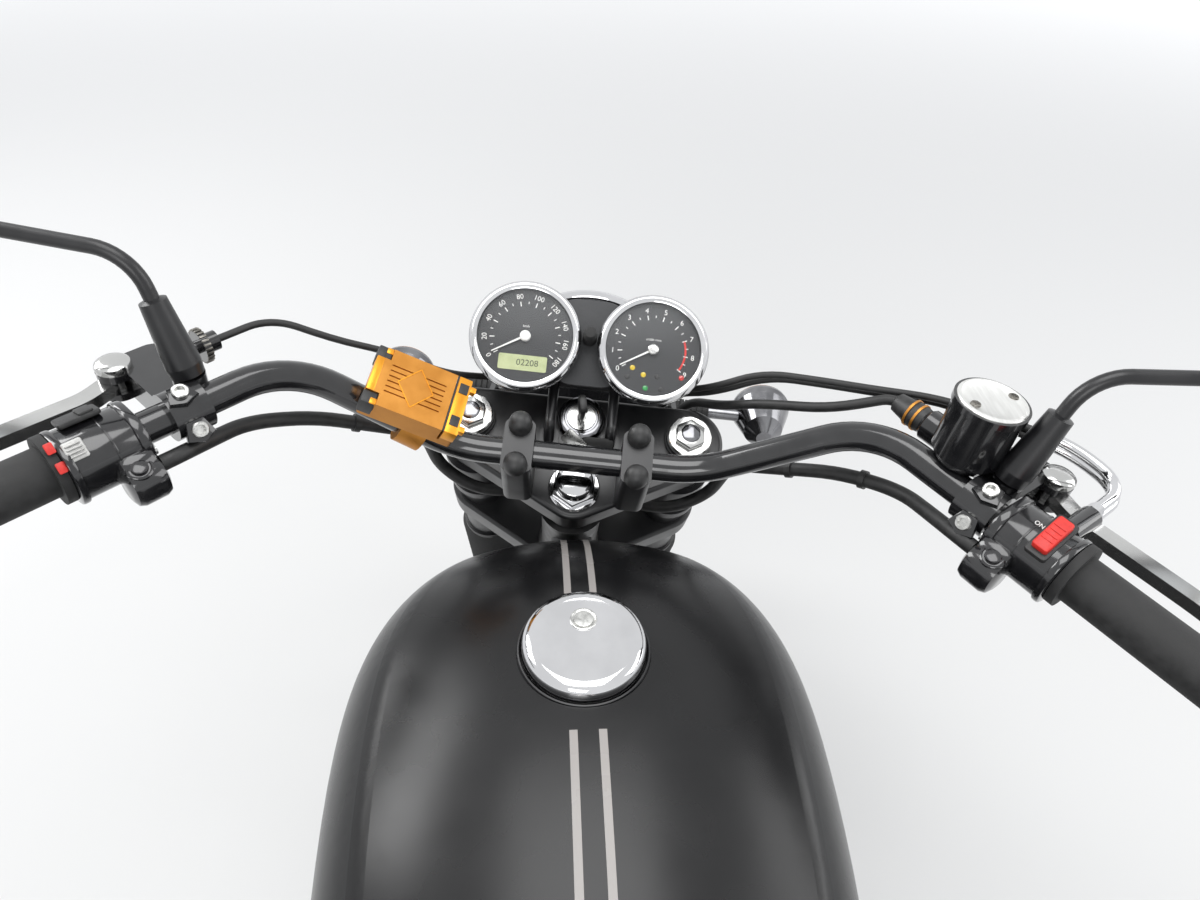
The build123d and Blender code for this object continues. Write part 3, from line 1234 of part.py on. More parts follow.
# Rear mudguard, lamp, plate and indicators
REAR_GUARD_R = REAR_TYRE_R + 24
with BuildPart() as rear_mudguard:
    add(guard_shell(REAR_HUB, REAR_GUARD_R, 74, -64, 114, GUARD_WALL))
    add(box_between((-622, -20, REAR_AXLE_Z + 325), (-580, 20, RAIL_Z - 4)))
    add(box_between((-754, -16, REAR_AXLE_Z + 350), (-734, 16, RAIL_Z + 8)))
    add(subframe.part, mode=Mode.SUBTRACT)
keep(rear_mudguard, "rear_mudguard")
PLATE_X = REAR_AXLE_X - 328
TAIL_X = REAR_AXLE_X - 300
with BuildPart() as tail_lamp:
    add(slab([(TAIL_X + 115, 655), (TAIL_X + 75, 704), (TAIL_X, 704), (TAIL_X, 612), (PLATE_X, 606), (PLATE_X, 540),
              (PLATE_X + 18, 530)], -30, 30))
    add(disc(REAR_AXLE_X, REAR_AXLE_Z, -90, 90, REAR_GUARD_R + GUARD_WALL + 0.3), mode=Mode.SUBTRACT)
    add(round_along((TAIL_X + 2, 0, 658), (-1, 0, 0), [(-2, 0), (-2, 42), (14, 42), (24, 36), (30, 24), (32, 0)]))
keep(tail_lamp, "tail_lamp")
with BuildPart() as plate:
    with BuildSketch(Plane(origin=(PLATE_X - SEAT_GAP, 0, 520), x_dir=(0, 1, 0), z_dir=(-1, 0, 0))):
        RectangleRounded(180, 170, 10)
        with Locations((-70, 30), (70, 30), (-70, -30), (70, -30)):
            Circle(3.3, mode=Mode.SUBTRACT)
    extrude(amount=4)
keep(plate, "plate_holder")


def indicator(root, out, direction):
    """A bullet lamp on a short stem, its lens towards the given direction."""
    tip = Vector(*root) + Vector(0, out, 0)
    with BuildPart(mode=Mode.PRIVATE) as made:
        add(tube([root, tip], 6.5))
        bullet = [(-34, 0), (-34, 8), (-22, 20), (8, 30), (14, 31), (18, 30), (26, 18), (29, 0)]
        add(round_along(tip, direction, bullet))
    return made.part


with BuildPart() as rear_indicators:
    for side in (1, -1):
        add(indicator((TAIL_X + 26, side * 30.3, 668), side * 70, (-1, 0, 0)))
keep(rear_indicators, "rear_indicators")
with BuildPart() as front_indicators:
    for side in (1, -1):
        root = (LAMP_AHEAD - LAMP_STUD_BACK, side * (EAR_Y + EAR_THICK / 2 + SEAT_GAP), LAMP_ABOVE)
        add(indicator(root, side * 95, (1, 0, 0)))
keep(front_indicators, "front_indicators", LEVEL)

# Footrests, pedals and horn
with BuildPart() as foot_controls:
    for side in (1, -1):
        hanger = [(-214, side * 96, CRADLE_Z + 14), (-214, side * 112, 262), (-214, side * 114, 336)]
        add(tube(hanger, 8, (20,)))
        rest = [(0, 0), (0, 12), (34, 12), (34, 15), (130, 15), (130, 0)]
        add(round_along((-214, side * 110, 335), (0, side, 0), rest))
    for side in (1, -1):
        add(round_along((-92, side * 124.3, 318), (0, side, 0), [(0, 0), (0, 9), (16, 9), (16, 0)]))
    add(tube([(-92, 131, 318), (-60, 142, 306), (52, 150, 300)], 6, (12,)))
    add(round_along((52, 146, 300), (0, 1, 0), [(0, 0), (0, 9), (44, 9), (44, 0)]))
    add(tube([(-92, -133, 318), (-60, -144, 300), (40, -148, 292)], 7, (12,)))
    add(box_between((30, -178, 291), (72, -140, 301)))
    add(main_frame.part, mode=Mode.SUBTRACT)
keep(foot_controls, "foot_controls")
HORN_X = STEER_X - 16
HORN_Z = TOP_YOKE_Z - 285
with BuildPart() as horn:
    add(round_along((HORN_X + 2, 0, HORN_Z), (0.94, 0, -0.1), [(0, 0), (0, 16), (6, 36), (26, 38), (32, 30), (32, 0)]))
    add(tube([(HORN_X, 0, HORN_Z), (HORN_X, 0, HORN_Z + 60), (HORN_X + 29, 0, HORN_Z + 135)], 6, (20,)))
    add(main_frame.part, mode=Mode.SUBTRACT)
keep(horn, "horn")

# Centre stand and side stand
STAND_FEET = [
    # half span, x and z of each bend of a leg
    (36, STAND_PIVOT[0], STAND_PIVOT[1]),
    (90, -272, 96),
    (98, -262, 14),
]
with BuildPart() as centre_stand:
    add(disc(*STAND_PIVOT, -56, 56, 14))
    for side in (1, -1):
        corners = [(x, side * y, z) for y, x, z in STAND_FEET]
        add(tube(corners, 11, (60,)))
        add(box_between((-292, side * 98 - 14, 0), (-234, side * 98 + 14, 8)))
        add(tube([(-262, side * 98, 20), (-258, side * 98, 4)], 11))
    add(tube([(-275, -76, 132), (-275, 76, 132)], 9))
    add(box_between((-320, 80, -30), (-220, 120, 0)), mode=Mode.SUBTRACT)
    add(box_between((-320, -120, -30), (-220, -80, 0)), mode=Mode.SUBTRACT)
    add(disc(*STAND_PIVOT, -57, 57, STAND_PIN_R + RUNNING_GAP), mode=Mode.SUBTRACT)
keep(centre_stand, "centre_stand")
SIDE_LEG = 196.0
with BuildPart() as side_stand:
    add(round_along(arm, SIDE_AXIS, [(-5, 0), (-5, 13), (5, 13), (5, 0)]))
    add(tube([arm + Vector(-8, 0, 0), arm + Vector(-SIDE_LEG, 0, 0)], 8))
    add(round_along(arm + Vector(-SIDE_LEG, 0, 0), Vector(-1, 0, 0.1), [(-4, 0), (-4, 16), (3, 16), (3, 0)]))
    bore_r = SIDE_PIN_R + RUNNING_GAP
    add(round_along(arm, SIDE_AXIS, [(-20, 0), (-20, bore_r), (5, bore_r), (5, 0)]),
        mode=Mode.SUBTRACT)
    add(round_along(arm, SIDE_AXIS, [(5, 0), (5, 16), (20, 16), (20, 0)]), mode=Mode.SUBTRACT)
keep(side_stand, "side_stand")

# Brake hose from the master cylinder, down the front of the right leg to the caliper
HOSE_R = 4.0
HOSE = [
    # fork frame: forward, left, up
    (57, -192, 88),
    (70, -142, 56),
    (78, -118, 28),
    (99, -94, -14),
]
HOSE_LEAD = 18.0
UNION_BACK = MASTER_BACK + MASTER[-1][0] + SEAT_GAP
hose_top = [at_bar(-1, UNION_BACK + out, MASTER_AHEAD, MASTER_ABOVE) for out in (0, HOSE_LEAD)]
CALIPER_TOP = Vector(CALIPER_F, DISC_Y - 19, CALIPER_U + 38 + SEAT_GAP)
LEG_RUN = [
    # fork frame: ahead of the leg, left, above the axle
    (42, -66, 544),
    (38, -56, 446),
    (-4, -52, 390),
    (-48, -75, 308),
    (-92, -73, 214),
]
with BuildPart() as brake_hose:
    middle = [Vector(*p) for p in HOSE]
    low = [Vector(AXLE_F + ahead, left, AXLE_U + up) for ahead, left, up in LEG_RUN]
    add(cable(hose_top + middle + low + [CALIPER_TOP], HOSE_R))
keep(brake_hose, "brake_hose", FORK)

# Control cables: in front of the top yoke, then down between the legs to the lower yoke
CABLE_R = 2.8
CLUTCH_CABLE = [
    # fork frame: forward, left, up
    (81, 247, 92),
    (80, 200, 68),
    (85, 160, 47),
    (80, 118, 28),
    (101, 58, -10),
    (66, 38, -84),
]
THROTTLE_START = [
    # along the bar back from its end, ahead, above
    (BARREL_BACK, BARREL_AHEAD + SEAT_GAP, BARREL_ABOVE),
    (BARREL_BACK, 84, 17),
    (188, 84, 22),
    (232, 58, 25),
]
THROTTLE_CABLE = [
    # fork frame: forward, left, up
    (60, -266, 116),
    (71, -228, 98),
    (83, -190, 80),
    (92, -146, 66),
    (86, -106, 38),
    (104, -74, -10),
    (66, -38, -84),
]
PAIR_OFFSET = Vector(0, 3.3, 3.3)
CABLE_END = Vector(66, 38, LOWER_YOKE_TOP + SEAT_GAP)
with BuildPart() as control_cables:
    clutch_start = at_bar(1, ADJUSTER_BACK + ADJUSTER[-1][0] + SEAT_GAP, LEVER_PIVOT_AHEAD, 0)
    add(cable([clutch_start] + [Vector(*p) for p in CLUTCH_CABLE] + [CABLE_END], CABLE_R))
    forward = on_bar(-1, 0).x_dir
    for twin in (1, -1):
        shift = PAIR_OFFSET * twin
        flush = shift - forward * shift.dot(forward)
        spots = [at_bar(-1, *p) + flush for p in THROTTLE_START] + [Vector(*p) + shift for p in THROTTLE_CABLE]
        last = Vector(spots[-1].X, spots[-1].Y, CABLE_END.Z)
        add(cable(spots + [last], CABLE_R))
keep(control_cables, "control_cables", FORK)

# Wiring looms from the switch housings, round behind the legs and into the back of the headlamp
LOOM_R = 5.5
LOOM = [
    # fork frame: forward, outwards, up
    (-40, 252, 132),
    (-9, 241, 98),
    (10, 203, 74),
    (22, 147, 38),
    (36, 132, 0),
    (25.5, 122, -48.5),
    (14.5, 93, -68),
    (18, 58, -80),
    (50, 25, -98),
]
LOOM_END_SIDE = 13.0
LOOM_LEAD = 40.0
with BuildPart() as wiring_looms:
    for side in (1, -1):
        starts = [at_bar(side, SWITCH_BACK + SWITCH_LENGTH + SEAT_GAP + out, -22, -14) for out in (0, LOOM_LEAD / 3)]
        ahead = LAMP_AHEAD - LAMP_DEPTH - SEAT_GAP
        ends = [Vector(*fork_point(x, side * LOOM_END_SIDE, LAMP_ABOVE)) for x in (ahead - LOOM_LEAD, ahead)]
        add(cable(starts + [Vector(f, side * out, up) for f, out, up in LOOM] + ends, LOOM_R))
keep(wiring_looms, "wiring_looms", FORK)
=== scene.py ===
# %% [markdown]
# # A cafe racer motorcycle, dressed over its CAD frame
# The frame holds every rigid piece where the engineer put it. This lesson gives each of those
# pieces a believable finish, then adds what the engineer left to us: dials, tread, bolts, a padded
# seat, pinstripes and chain links. Nothing in the frame is moved.

# %% Load the frame
import bpy
import bmesh
from math import cos, sin, tan, pi, radians, hypot, atan2
from mathutils import Matrix, Vector


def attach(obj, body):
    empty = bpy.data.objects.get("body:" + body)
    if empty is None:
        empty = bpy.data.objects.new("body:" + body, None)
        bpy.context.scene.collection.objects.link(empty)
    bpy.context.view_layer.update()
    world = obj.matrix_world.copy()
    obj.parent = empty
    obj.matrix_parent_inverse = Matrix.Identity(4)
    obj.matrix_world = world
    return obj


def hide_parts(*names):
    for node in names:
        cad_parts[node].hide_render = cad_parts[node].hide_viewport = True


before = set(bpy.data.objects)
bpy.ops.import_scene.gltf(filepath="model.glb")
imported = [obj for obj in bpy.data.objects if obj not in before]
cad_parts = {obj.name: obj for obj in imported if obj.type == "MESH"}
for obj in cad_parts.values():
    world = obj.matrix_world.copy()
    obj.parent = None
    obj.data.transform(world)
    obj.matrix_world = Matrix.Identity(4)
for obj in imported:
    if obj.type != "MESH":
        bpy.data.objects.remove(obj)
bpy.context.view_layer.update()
scene = bpy.context.scene
scene.view_settings.view_transform = "Standard"

# %% [markdown]
# ## Where the handlebar lives
# Everything in front of the rider turns with the steering, and the frame holds it raked back and
# turned a little to the right. Two matrices save a lot of trigonometry: FORK puts a point given
# along the steering axis in its place, and LEVEL does the same for a point given level. BIKE is
# the plain frame, for everything that doesn't turn.

# %% The fork's own frame
MM = 0.001
STEER_X, TOP_YOKE_Z = 371.7, 925.0
RAKE, STEER_AT_REST = radians(27), radians(-7)
FORK = (
    Matrix.Translation(Vector((STEER_X, 0, TOP_YOKE_Z)) * MM)
    @ Matrix.Rotation(-RAKE, 4, "Y")
    @ Matrix.Rotation(STEER_AT_REST, 4, "Z")
)
LEVEL = FORK @ Matrix.Rotation(RAKE, 4, "Y")
BIKE = Matrix.Identity(4)
print("top yoke at", [round(v, 4) for v in FORK.translation])

# %% [markdown]
# Sizes are easier to read in millimetres, and Blender works in metres, so `spot` turns one into
# the other. A piece is then set down with a place, which is a matrix: `facing` makes one from a
# point and the way that its Z should look, and `shifted` and `turned` move it along its own axes.

# %% Places
def spot(*point):
    """Millimetres to a Blender vector in metres."""
    return Vector(point) * MM


def tipped(ahead, left, above):
    """A level direction or offset, written in the fork's own frame, in millimetres."""
    return Vector((ahead * cos(RAKE) + above * sin(RAKE), left, above * cos(RAKE) - ahead * sin(RAKE)))


def facing(origin, direction, roll_to=None):
    """A place whose Z points along direction and whose Y leans towards roll_to, or else upwards."""
    z = Vector(direction).normalized()
    y = Vector(roll_to) if roll_to else (Vector((0, 0, 1)) if abs(z.z) < 0.95 else Vector((1, 0, 0)))
    x = y.cross(z).normalized()
    turn = Matrix((x, z.cross(x), z)).transposed().to_4x4()
    return Matrix.Translation(Vector(origin) * MM) @ turn


def shifted(place, *offset):
    """The same place, moved by millimetres along its own axes."""
    return place @ Matrix.Translation(spot(*offset))


def turned(place, angle):
    """The same place, turned about its own Z by degrees."""
    return place @ Matrix.Rotation(radians(angle), 4, "Z")


print("100 mm up the fork:", [round(v, 4) for v in shifted(FORK, 0, 0, 100).translation])

# %% [markdown]
# ## The camera
# The picture was taken from the saddle, looking down over the clocks with a wide lens. A camera
# given by yaw, pitch and roll is easy to nudge until the clocks, the grips and the filler cap all
# fall where the photograph has them.

# %% Camera
CAMERA_AT = (-159.1, 29.9, 1439.7)
YAW, PITCH, ROLL = radians(-5.4), radians(41.5), radians(3.1)
FOCAL_PIXELS, IMAGE_WIDTH = 876.9, 1200
NEAREST_SEEN = 0.01
look = Vector((cos(PITCH) * cos(YAW), cos(PITCH) * sin(YAW), -sin(PITCH)))
flat_right = look.cross(Vector((0, 0, 1))).normalized()
flat_up = flat_right.cross(look)
cam_right = flat_right * cos(ROLL) + flat_up * sin(ROLL)
cam_up = flat_up * cos(ROLL) - flat_right * sin(ROLL)
camera = bpy.data.objects.new("camera", bpy.data.cameras.new("camera"))
scene.collection.objects.link(camera)
camera.data.sensor_width = 36.0
camera.data.lens = FOCAL_PIXELS / IMAGE_WIDTH * camera.data.sensor_width
camera.data.clip_start = NEAREST_SEEN
turn = Matrix((cam_right, cam_up, -look)).transposed().to_4x4()
camera.matrix_world = Matrix.Translation(spot(*CAMERA_AT)) @ turn
scene.camera = camera
print("lens", round(camera.data.lens, 2), "mm")

# %% [markdown]
# ## The floor
# A pale floor keeps the studio plain. It is a single flat sheet, made very large so that its edge
# is never in the picture.

# %% Floor
FLOOR_HALF = 60.0
bm = bmesh.new()
bmesh.ops.create_grid(bm, x_segments=2, y_segments=2, size=FLOOR_HALF)
floor_mesh = bpy.data.meshes.new("studio_floor")
bm.to_mesh(floor_mesh)
bm.free()
floor = bpy.data.objects.new("studio_floor", floor_mesh)
scene.collection.objects.link(floor)
print("floor", 2 * FLOOR_HALF, "m wide")

# %% [markdown]
# A floor still meets the world in a line far away. So it glows more the further it is from the
# bike, until it is as bright as the world and melts into it. Every material in this lesson is a
# handful of nodes, so a small helper makes a node with its values set.

# %% Floor paint
GLOW_STARTS, GLOW_FULL, GLOW_STRENGTH = 1.5, 7.0, 0.66


def add_node(tree, kind, operation=None, **values):
    """A new shader node, its inputs set by name, with an underscore for a space."""
    made = tree.nodes.new("ShaderNode" + kind)
    if operation:
        made.operation = operation
    for name, value in values.items():
        made.inputs[name.replace("_", " ")].default_value = value
    return made


floor_paint = bpy.data.materials.new("pale_floor")
floor_paint.use_nodes = True
floor_mesh.materials.append(floor_paint)
tree = floor_paint.node_tree
floor_shader = tree.nodes["Principled BSDF"]
floor_shader.inputs["Base Color"].default_value = (0.74, 0.74, 0.73, 1)
floor_shader.inputs["Roughness"].default_value = 0.7
floor_shader.inputs["Emission Color"].default_value = (0.96, 0.97, 0.98, 1)
ground = add_node(tree, "TexCoord")
away = add_node(tree, "VectorMath", "LENGTH")
glow = add_node(tree, "MapRange", From_Min=GLOW_STARTS, From_Max=GLOW_FULL, To_Max=GLOW_STRENGTH)
tree.links.new(ground.outputs["Object"], away.inputs[0])
tree.links.new(away.outputs["Value"], glow.inputs["Value"])
tree.links.new(glow.outputs["Result"], floor_shader.inputs["Emission Strength"])
print("glow from", GLOW_STARTS, "m to", GLOW_FULL, "m")

# %% [markdown]
# ## The light
# A world that is white enough for a clean background would wash the bike out. So there are two:
# the camera, mirrors and glass see a white one, and the light that lands on the bike comes from a
# dimmer one. Black paint stays black, and chrome still has something to show.

# %% World
world = bpy.data.worlds.new("studio")
scene.world = world
world.use_nodes = True
tree = world.node_tree
tree.nodes.clear()
output = add_node(tree, "OutputWorld")
soft = add_node(tree, "Background", Color=(0.93, 0.95, 1.0, 1), Strength=0.5)
seen = add_node(tree, "Background", Color=(0.92, 0.93, 0.94, 1), Strength=1.09)
rays = add_node(tree, "LightPath")
sees_white = rays.outputs["Is Camera Ray"]
for ray in ("Is Glossy Ray", "Is Transmission Ray"):
    either = add_node(tree, "Math", "MAXIMUM")
    tree.links.new(sees_white, either.inputs[0])
    tree.links.new(rays.outputs[ray], either.inputs[1])
    sees_white = either.outputs[0]
mix = add_node(tree, "MixShader")
for source, socket in zip((sees_white, soft.outputs[0], seen.outputs[0]), mix.inputs):
    tree.links.new(source, socket)
tree.links.new(mix.outputs[0], output.inputs["Surface"])
print("world nodes", len(tree.nodes))

# %% [markdown]
# Four large soft panels then give the shapes their long highlights. Each panel is given a place and
# aimed at a point on the bike.

# %% Light panels
PANELS = [
    # name, place, aim, size, watts
    ("key_panel", (1.6, 2.4, 2.8), (0.1, 0.0, 0.7), 1.6, 60),
    ("fill_panel", (0.4, -2.8, 2.2), (0.1, 0.0, 0.6), 2.0, 34),
    ("tail_panel", (-3.0, 0.6, 2.4), (-0.2, 0.0, 0.6), 1.6, 34),
    ("top_panel", (0.2, 0.0, 3.4), (0.2, 0.0, 0.5), 1.8, 40),
]
for name, place, aim, size, watts in PANELS:
    lamp = bpy.data.lights.new(name, "AREA")
    lamp.size = size
    lamp.energy = watts
    panel = bpy.data.objects.new(name, lamp)
    panel.location = place
    panel.rotation_euler = (Vector(aim) - Vector(place)).to_track_quat("-Z", "Y").to_euler()
    scene.collection.objects.link(panel)
print("panels", len(PANELS))

# %% [markdown]
# ## One recipe for every finish
# Real surfaces are never one flat colour. Paint has orange peel and fine swirls, cast metal has
# grain, rubber has a dusty bloom. One small recipe makes them all: a noise drives the colour
# between two tones and the roughness between two values, and a finer noise makes the bump.

# %% The recipe
TONE_STOPS = (0.35, 0.65)


def finish(name, dark, light, rough, metal=0.0, grain=120.0, detail=5.0, bump=0.1, depth=0.0002, bump_scale=900.0,
           stretch=(1, 1, 1), **settings):
    """A procedural material: two tones and two roughness values mixed by a noise, and a fine bump."""
    made = bpy.data.materials.new(name)
    made.use_nodes = True
    tree = made.node_tree
    shader = tree.nodes["Principled BSDF"]
    where = add_node(tree, "TexCoord")
    scale = add_node(tree, "Mapping", Scale=stretch)
    cloud = add_node(tree, "TexNoise", Scale=grain, Detail=detail)
    tones = add_node(tree, "ValToRGB")
    for stop, position, colour in zip(tones.color_ramp.elements, TONE_STOPS, (dark, light)):
        stop.position = position
        stop.color = (*colour, 1)
    spread = add_node(tree, "MapRange", From_Min=0.3, From_Max=0.7, To_Min=rough[0], To_Max=rough[1])
    fine = add_node(tree, "TexNoise", Scale=bump_scale, Detail=3.0)
    relief = add_node(tree, "Bump", Strength=bump, Distance=depth)
    for source, target in (
        (where.outputs["Object"], scale.inputs["Vector"]), (scale.outputs["Vector"], cloud.inputs["Vector"]),
        (scale.outputs["Vector"], fine.inputs["Vector"]), (cloud.outputs["Fac"], tones.inputs["Fac"]),
        (cloud.outputs["Fac"], spread.inputs["Value"]), (fine.outputs["Fac"], relief.inputs["Height"]),
        (tones.outputs["Color"], shader.inputs["Base Color"]),
        (spread.outputs["Result"], shader.inputs["Roughness"]), (relief.outputs["Normal"], shader.inputs["Normal"]),
    ):
        tree.links.new(source, target)
    shader.inputs["Metallic"].default_value = metal
    for socket, value in settings.items():
        shader.inputs[socket.replace("_", " ")].default_value = value
    return made


print("recipe ready, tones at", TONE_STOPS)

# %% [markdown]
# ## Paints
# The bar, forks and frame are three different blacks. Enamel has a clear coat and sharp
# reflections, satin paint has softer ones, and powder coat shows a fine orange peel. They are kept
# very dark, because a black that is a little grey looks like plastic in a white studio.

# %% Paints
COAT = {"Coat_Weight": 0.6, "Coat_Roughness": 0.06}
gloss_black = finish("gloss_black_enamel", (0.006, 0.006, 0.007), (0.012, 0.012, 0.013), (0.12, 0.2),
                     grain=60, bump=0.03, bump_scale=260, **COAT)
satin_black = finish("satin_black_paint", (0.008, 0.008, 0.009), (0.014, 0.014, 0.015), (0.3, 0.4),
                     grain=40, bump=0.05, bump_scale=600)
chassis_black = finish("black_powder_coat", (0.008, 0.008, 0.008), (0.02, 0.02, 0.02), (0.32, 0.48),
                       grain=90, bump=0.25, bump_scale=1400)
engine_black = finish("black_engine_paint", (0.012, 0.012, 0.012), (0.03, 0.03, 0.03), (0.38, 0.55),
                      grain=150, bump=0.3, bump_scale=1600)
plate_white = finish("blank_plate", (0.6, 0.6, 0.57), (0.7, 0.7, 0.67), (0.4, 0.5), grain=60, bump=0.05)
print("paints", gloss_black.name, satin_black.name, chassis_black.name, engine_black.name, plate_white.name)

# %% [markdown]
# ## Metals
# Bare metal takes all its colour from what it reflects, so Metallic is one and the tones set how
# bright the reflection is. Chrome is nearly a mirror with almost no bump. Castings are dull and
# grainy, and bolts are somewhere between. The anodised orange is a dye over metal.

# %% Metals
chrome = finish("chrome_plate", (0.6, 0.6, 0.61), (0.68, 0.68, 0.69), (0.05, 0.09), metal=1.0,
                grain=24, bump=0.004, bump_scale=300)
dark_chrome = finish("smoked_chrome", (0.16, 0.16, 0.17), (0.26, 0.26, 0.27), (0.08, 0.2), metal=1.0,
                     grain=40, bump=0.02)
polished = finish("polished_aluminium", (0.52, 0.52, 0.51), (0.6, 0.6, 0.59), (0.14, 0.2), metal=1.0,
                  grain=14, bump=0.004, bump_scale=700)
cast_metal = finish("cast_aluminium", (0.3, 0.3, 0.29), (0.46, 0.46, 0.45), (0.38, 0.6), metal=1.0,
                    grain=160, bump=0.5, bump_scale=1800)
dark_steel = finish("oiled_steel", (0.1, 0.095, 0.085), (0.24, 0.23, 0.21), (0.28, 0.5), metal=1.0,
                    grain=220, bump=0.2)
ground_steel = finish("ground_steel", (0.3, 0.3, 0.3), (0.5, 0.5, 0.5), (0.2, 0.42), metal=1.0,
                      grain=40, detail=8, bump=0.2, bump_scale=2000)
zinc = finish("zinc_bolt", (0.42, 0.42, 0.41), (0.62, 0.62, 0.6), (0.2, 0.36), metal=1.0, grain=260, bump=0.1)
lid_metal = finish("brushed_lid", (0.72, 0.72, 0.7), (0.8, 0.8, 0.78), (0.3, 0.4), metal=0.9,
                   grain=60, bump=0.05, stretch=(1, 8, 1))
orange = finish("brown_orange_anodising", (0.46, 0.19, 0.03), (0.54, 0.24, 0.045), (0.34, 0.46), metal=0.75,
                grain=60, bump=0.08, bump_scale=1800)
bright_orange = finish("bright_orange_anodising", (0.72, 0.29, 0.02), (0.8, 0.35, 0.03), (0.28, 0.38), metal=0.7,
                       grain=60, bump=0.08, bump_scale=1800)
print("metals from", chrome.name, "to", bright_orange.name)

# %% [markdown]
# ## Rubber, plastic and vinyl
# These are all black as well, and only their grain and shine tell them apart. Grips and tyres are
# the dullest, a hose has a slight sheen, and moulded plastic has the fine bumps of its mould.

# %% Rubber, plastic and vinyl
grip_rubber = finish("grip_rubber", (0.008, 0.008, 0.008), (0.022, 0.022, 0.022), (0.6, 0.8),
                     grain=140, bump=0.5, bump_scale=1800)
tyre_rubber = finish("tyre_rubber", (0.01, 0.01, 0.01), (0.026, 0.025, 0.024), (0.68, 0.88),
                     grain=70, bump=0.4, bump_scale=1500)
hose_rubber = finish("hose_rubber", (0.01, 0.01, 0.01), (0.02, 0.02, 0.02), (0.45, 0.62), grain=160, bump=0.2)
moulded = finish("moulded_plastic", (0.012, 0.012, 0.012), (0.024, 0.024, 0.024), (0.4, 0.52),
                 grain=200, bump=0.35, bump_scale=2600)
leather = finish("black_vinyl", (0.008, 0.008, 0.008), (0.02, 0.019, 0.018), (0.42, 0.6),
                 grain=220, bump=0.6, depth=0.0003, bump_scale=900)
print("materials so far", len(bpy.data.materials))

# %% [markdown]
# ## Dials, lenses and glass
# Printed ink is dull and flat. Coloured lenses are shiny, with a clear coat over a deep tone. Real
# glass over the dials would blur the figures at this size, so the dial glass is a soft sheen that
# is almost clear, and the headlamp gets true glass.

# %% Dials, lenses and glass
LENS_COAT = {"Coat_Weight": 0.8, "Coat_Roughness": 0.04}
dial_face = finish("dial_face", (0.02, 0.021, 0.023), (0.03, 0.031, 0.033), (0.5, 0.62), grain=400, bump=0.1)
dial_ink = finish("dial_ink", (0.78, 0.78, 0.75), (0.86, 0.86, 0.83), (0.5, 0.6), grain=300, bump=0.02)
red_ink = finish("red_ink", (0.55, 0.02, 0.015), (0.68, 0.03, 0.02), (0.4, 0.5), grain=300, bump=0.02)
pale_lcd = finish("pale_lcd", (0.42, 0.47, 0.24), (0.5, 0.55, 0.3), (0.3, 0.4), bump=0.01)
lcd_ink = finish("lcd_ink", (0.03, 0.04, 0.02), (0.05, 0.06, 0.03), (0.4, 0.5), grain=300, bump=0.01)
amber = finish("amber_lens", (0.75, 0.2, 0.01), (0.9, 0.32, 0.02), (0.08, 0.16), bump=0.3, bump_scale=500, **LENS_COAT)
red_lens = finish("red_lens", (0.42, 0.008, 0.006), (0.62, 0.02, 0.012), (0.08, 0.16), bump=0.3, bump_scale=500,
                  **LENS_COAT)
green_lens = finish("green_lens", (0.02, 0.22, 0.05), (0.04, 0.35, 0.09), (0.1, 0.2), grain=300, bump=0.02)
yellow_lens = finish("yellow_lens", (0.6, 0.42, 0.02), (0.75, 0.55, 0.04), (0.1, 0.2), grain=300, bump=0.02)
glass = finish("clear_glass", (0.95, 0.96, 0.97), (1.0, 1.0, 1.0), (0.0, 0.02), grain=20, bump=0.01,
               Transmission_Weight=1.0, IOR=1.45)
dial_glass = finish("dial_glass", (0.9, 0.92, 0.94), (0.96, 0.97, 0.98), (0.24, 0.26), metal=1.0,
                    grain=20, bump=0.0, Alpha=0.01)
mirror_glass = finish("mirror_glass", (0.82, 0.84, 0.86), (0.88, 0.9, 0.92), (0.01, 0.03), metal=1.0,
                      grain=10, bump=0.003)
print("materials", len(bpy.data.materials))

# %% [markdown]
# ## Finishes for the CAD pieces
# The frame arrives grey. A node keeps its mesh and only its material slots change, so this is a
# plain table of finish and pieces.

# %% Dress the CAD pieces
CAD_FINISH = [
    (gloss_black, "rear_shocks shock_springs brake_caliper handlebar switch_housings clutch_perch brake_master clocks"
                  " headlamp_shell front_rim rear_rim"),
    (satin_black, "fuel_tank side_covers rear_mudguard fork_tubes fork_sliders front_mudguard top_yoke bar_clamps"
                  " steering_stem mirrors instrument_plate"),
    (chassis_black, "main_frame subframe swingarm centre_stand side_stand"),
    (engine_black, "crankcase cylinders cylinder_head"),
    (plate_white, "plate_holder"),
    (chrome, "exhaust headlamp_lens fuel_cap"),
    (dark_chrome, "rear_indicators front_indicators"),
    (polished, "engine_covers clutch_lever brake_lever front_hub rear_hub"),
    (cast_metal, "throttle_bodies"),
    (dark_steel, "drive_chain foot_controls ignition_switch"),
    (ground_steel, "front_brake_disc rear_sprocket"),
    (zinc, "front_axle"),
    (orange, "charger"),
    (grip_rubber, "fork_gaiters grips"),
    (tyre_rubber, "front_tyre rear_tyre"),
    (hose_rubber, "control_cables wiring_looms brake_hose"),
    (moulded, "air_box tail_lamp horn"),
    (leather, "seat"),
]
finish_of = {name: material for material, names in CAD_FINISH for name in names.split()}
for name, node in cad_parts.items():
    node.data.materials.clear()
    node.data.materials.append(finish_of[name])
print("dressed", len(finish_of), "of", len(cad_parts))

# %% [markdown]
# ## A small kit of shaping helpers
# Most of a motorcycle is turned on a lathe or cut from plate. So three helpers do most of the
# work: `spun` turns a profile, `block` makes a box with eased edges, and `prism` raises a flat
# outline. Each gives back a bmesh in its final place.

# %% The lathe
TOUCHING = 1e-6


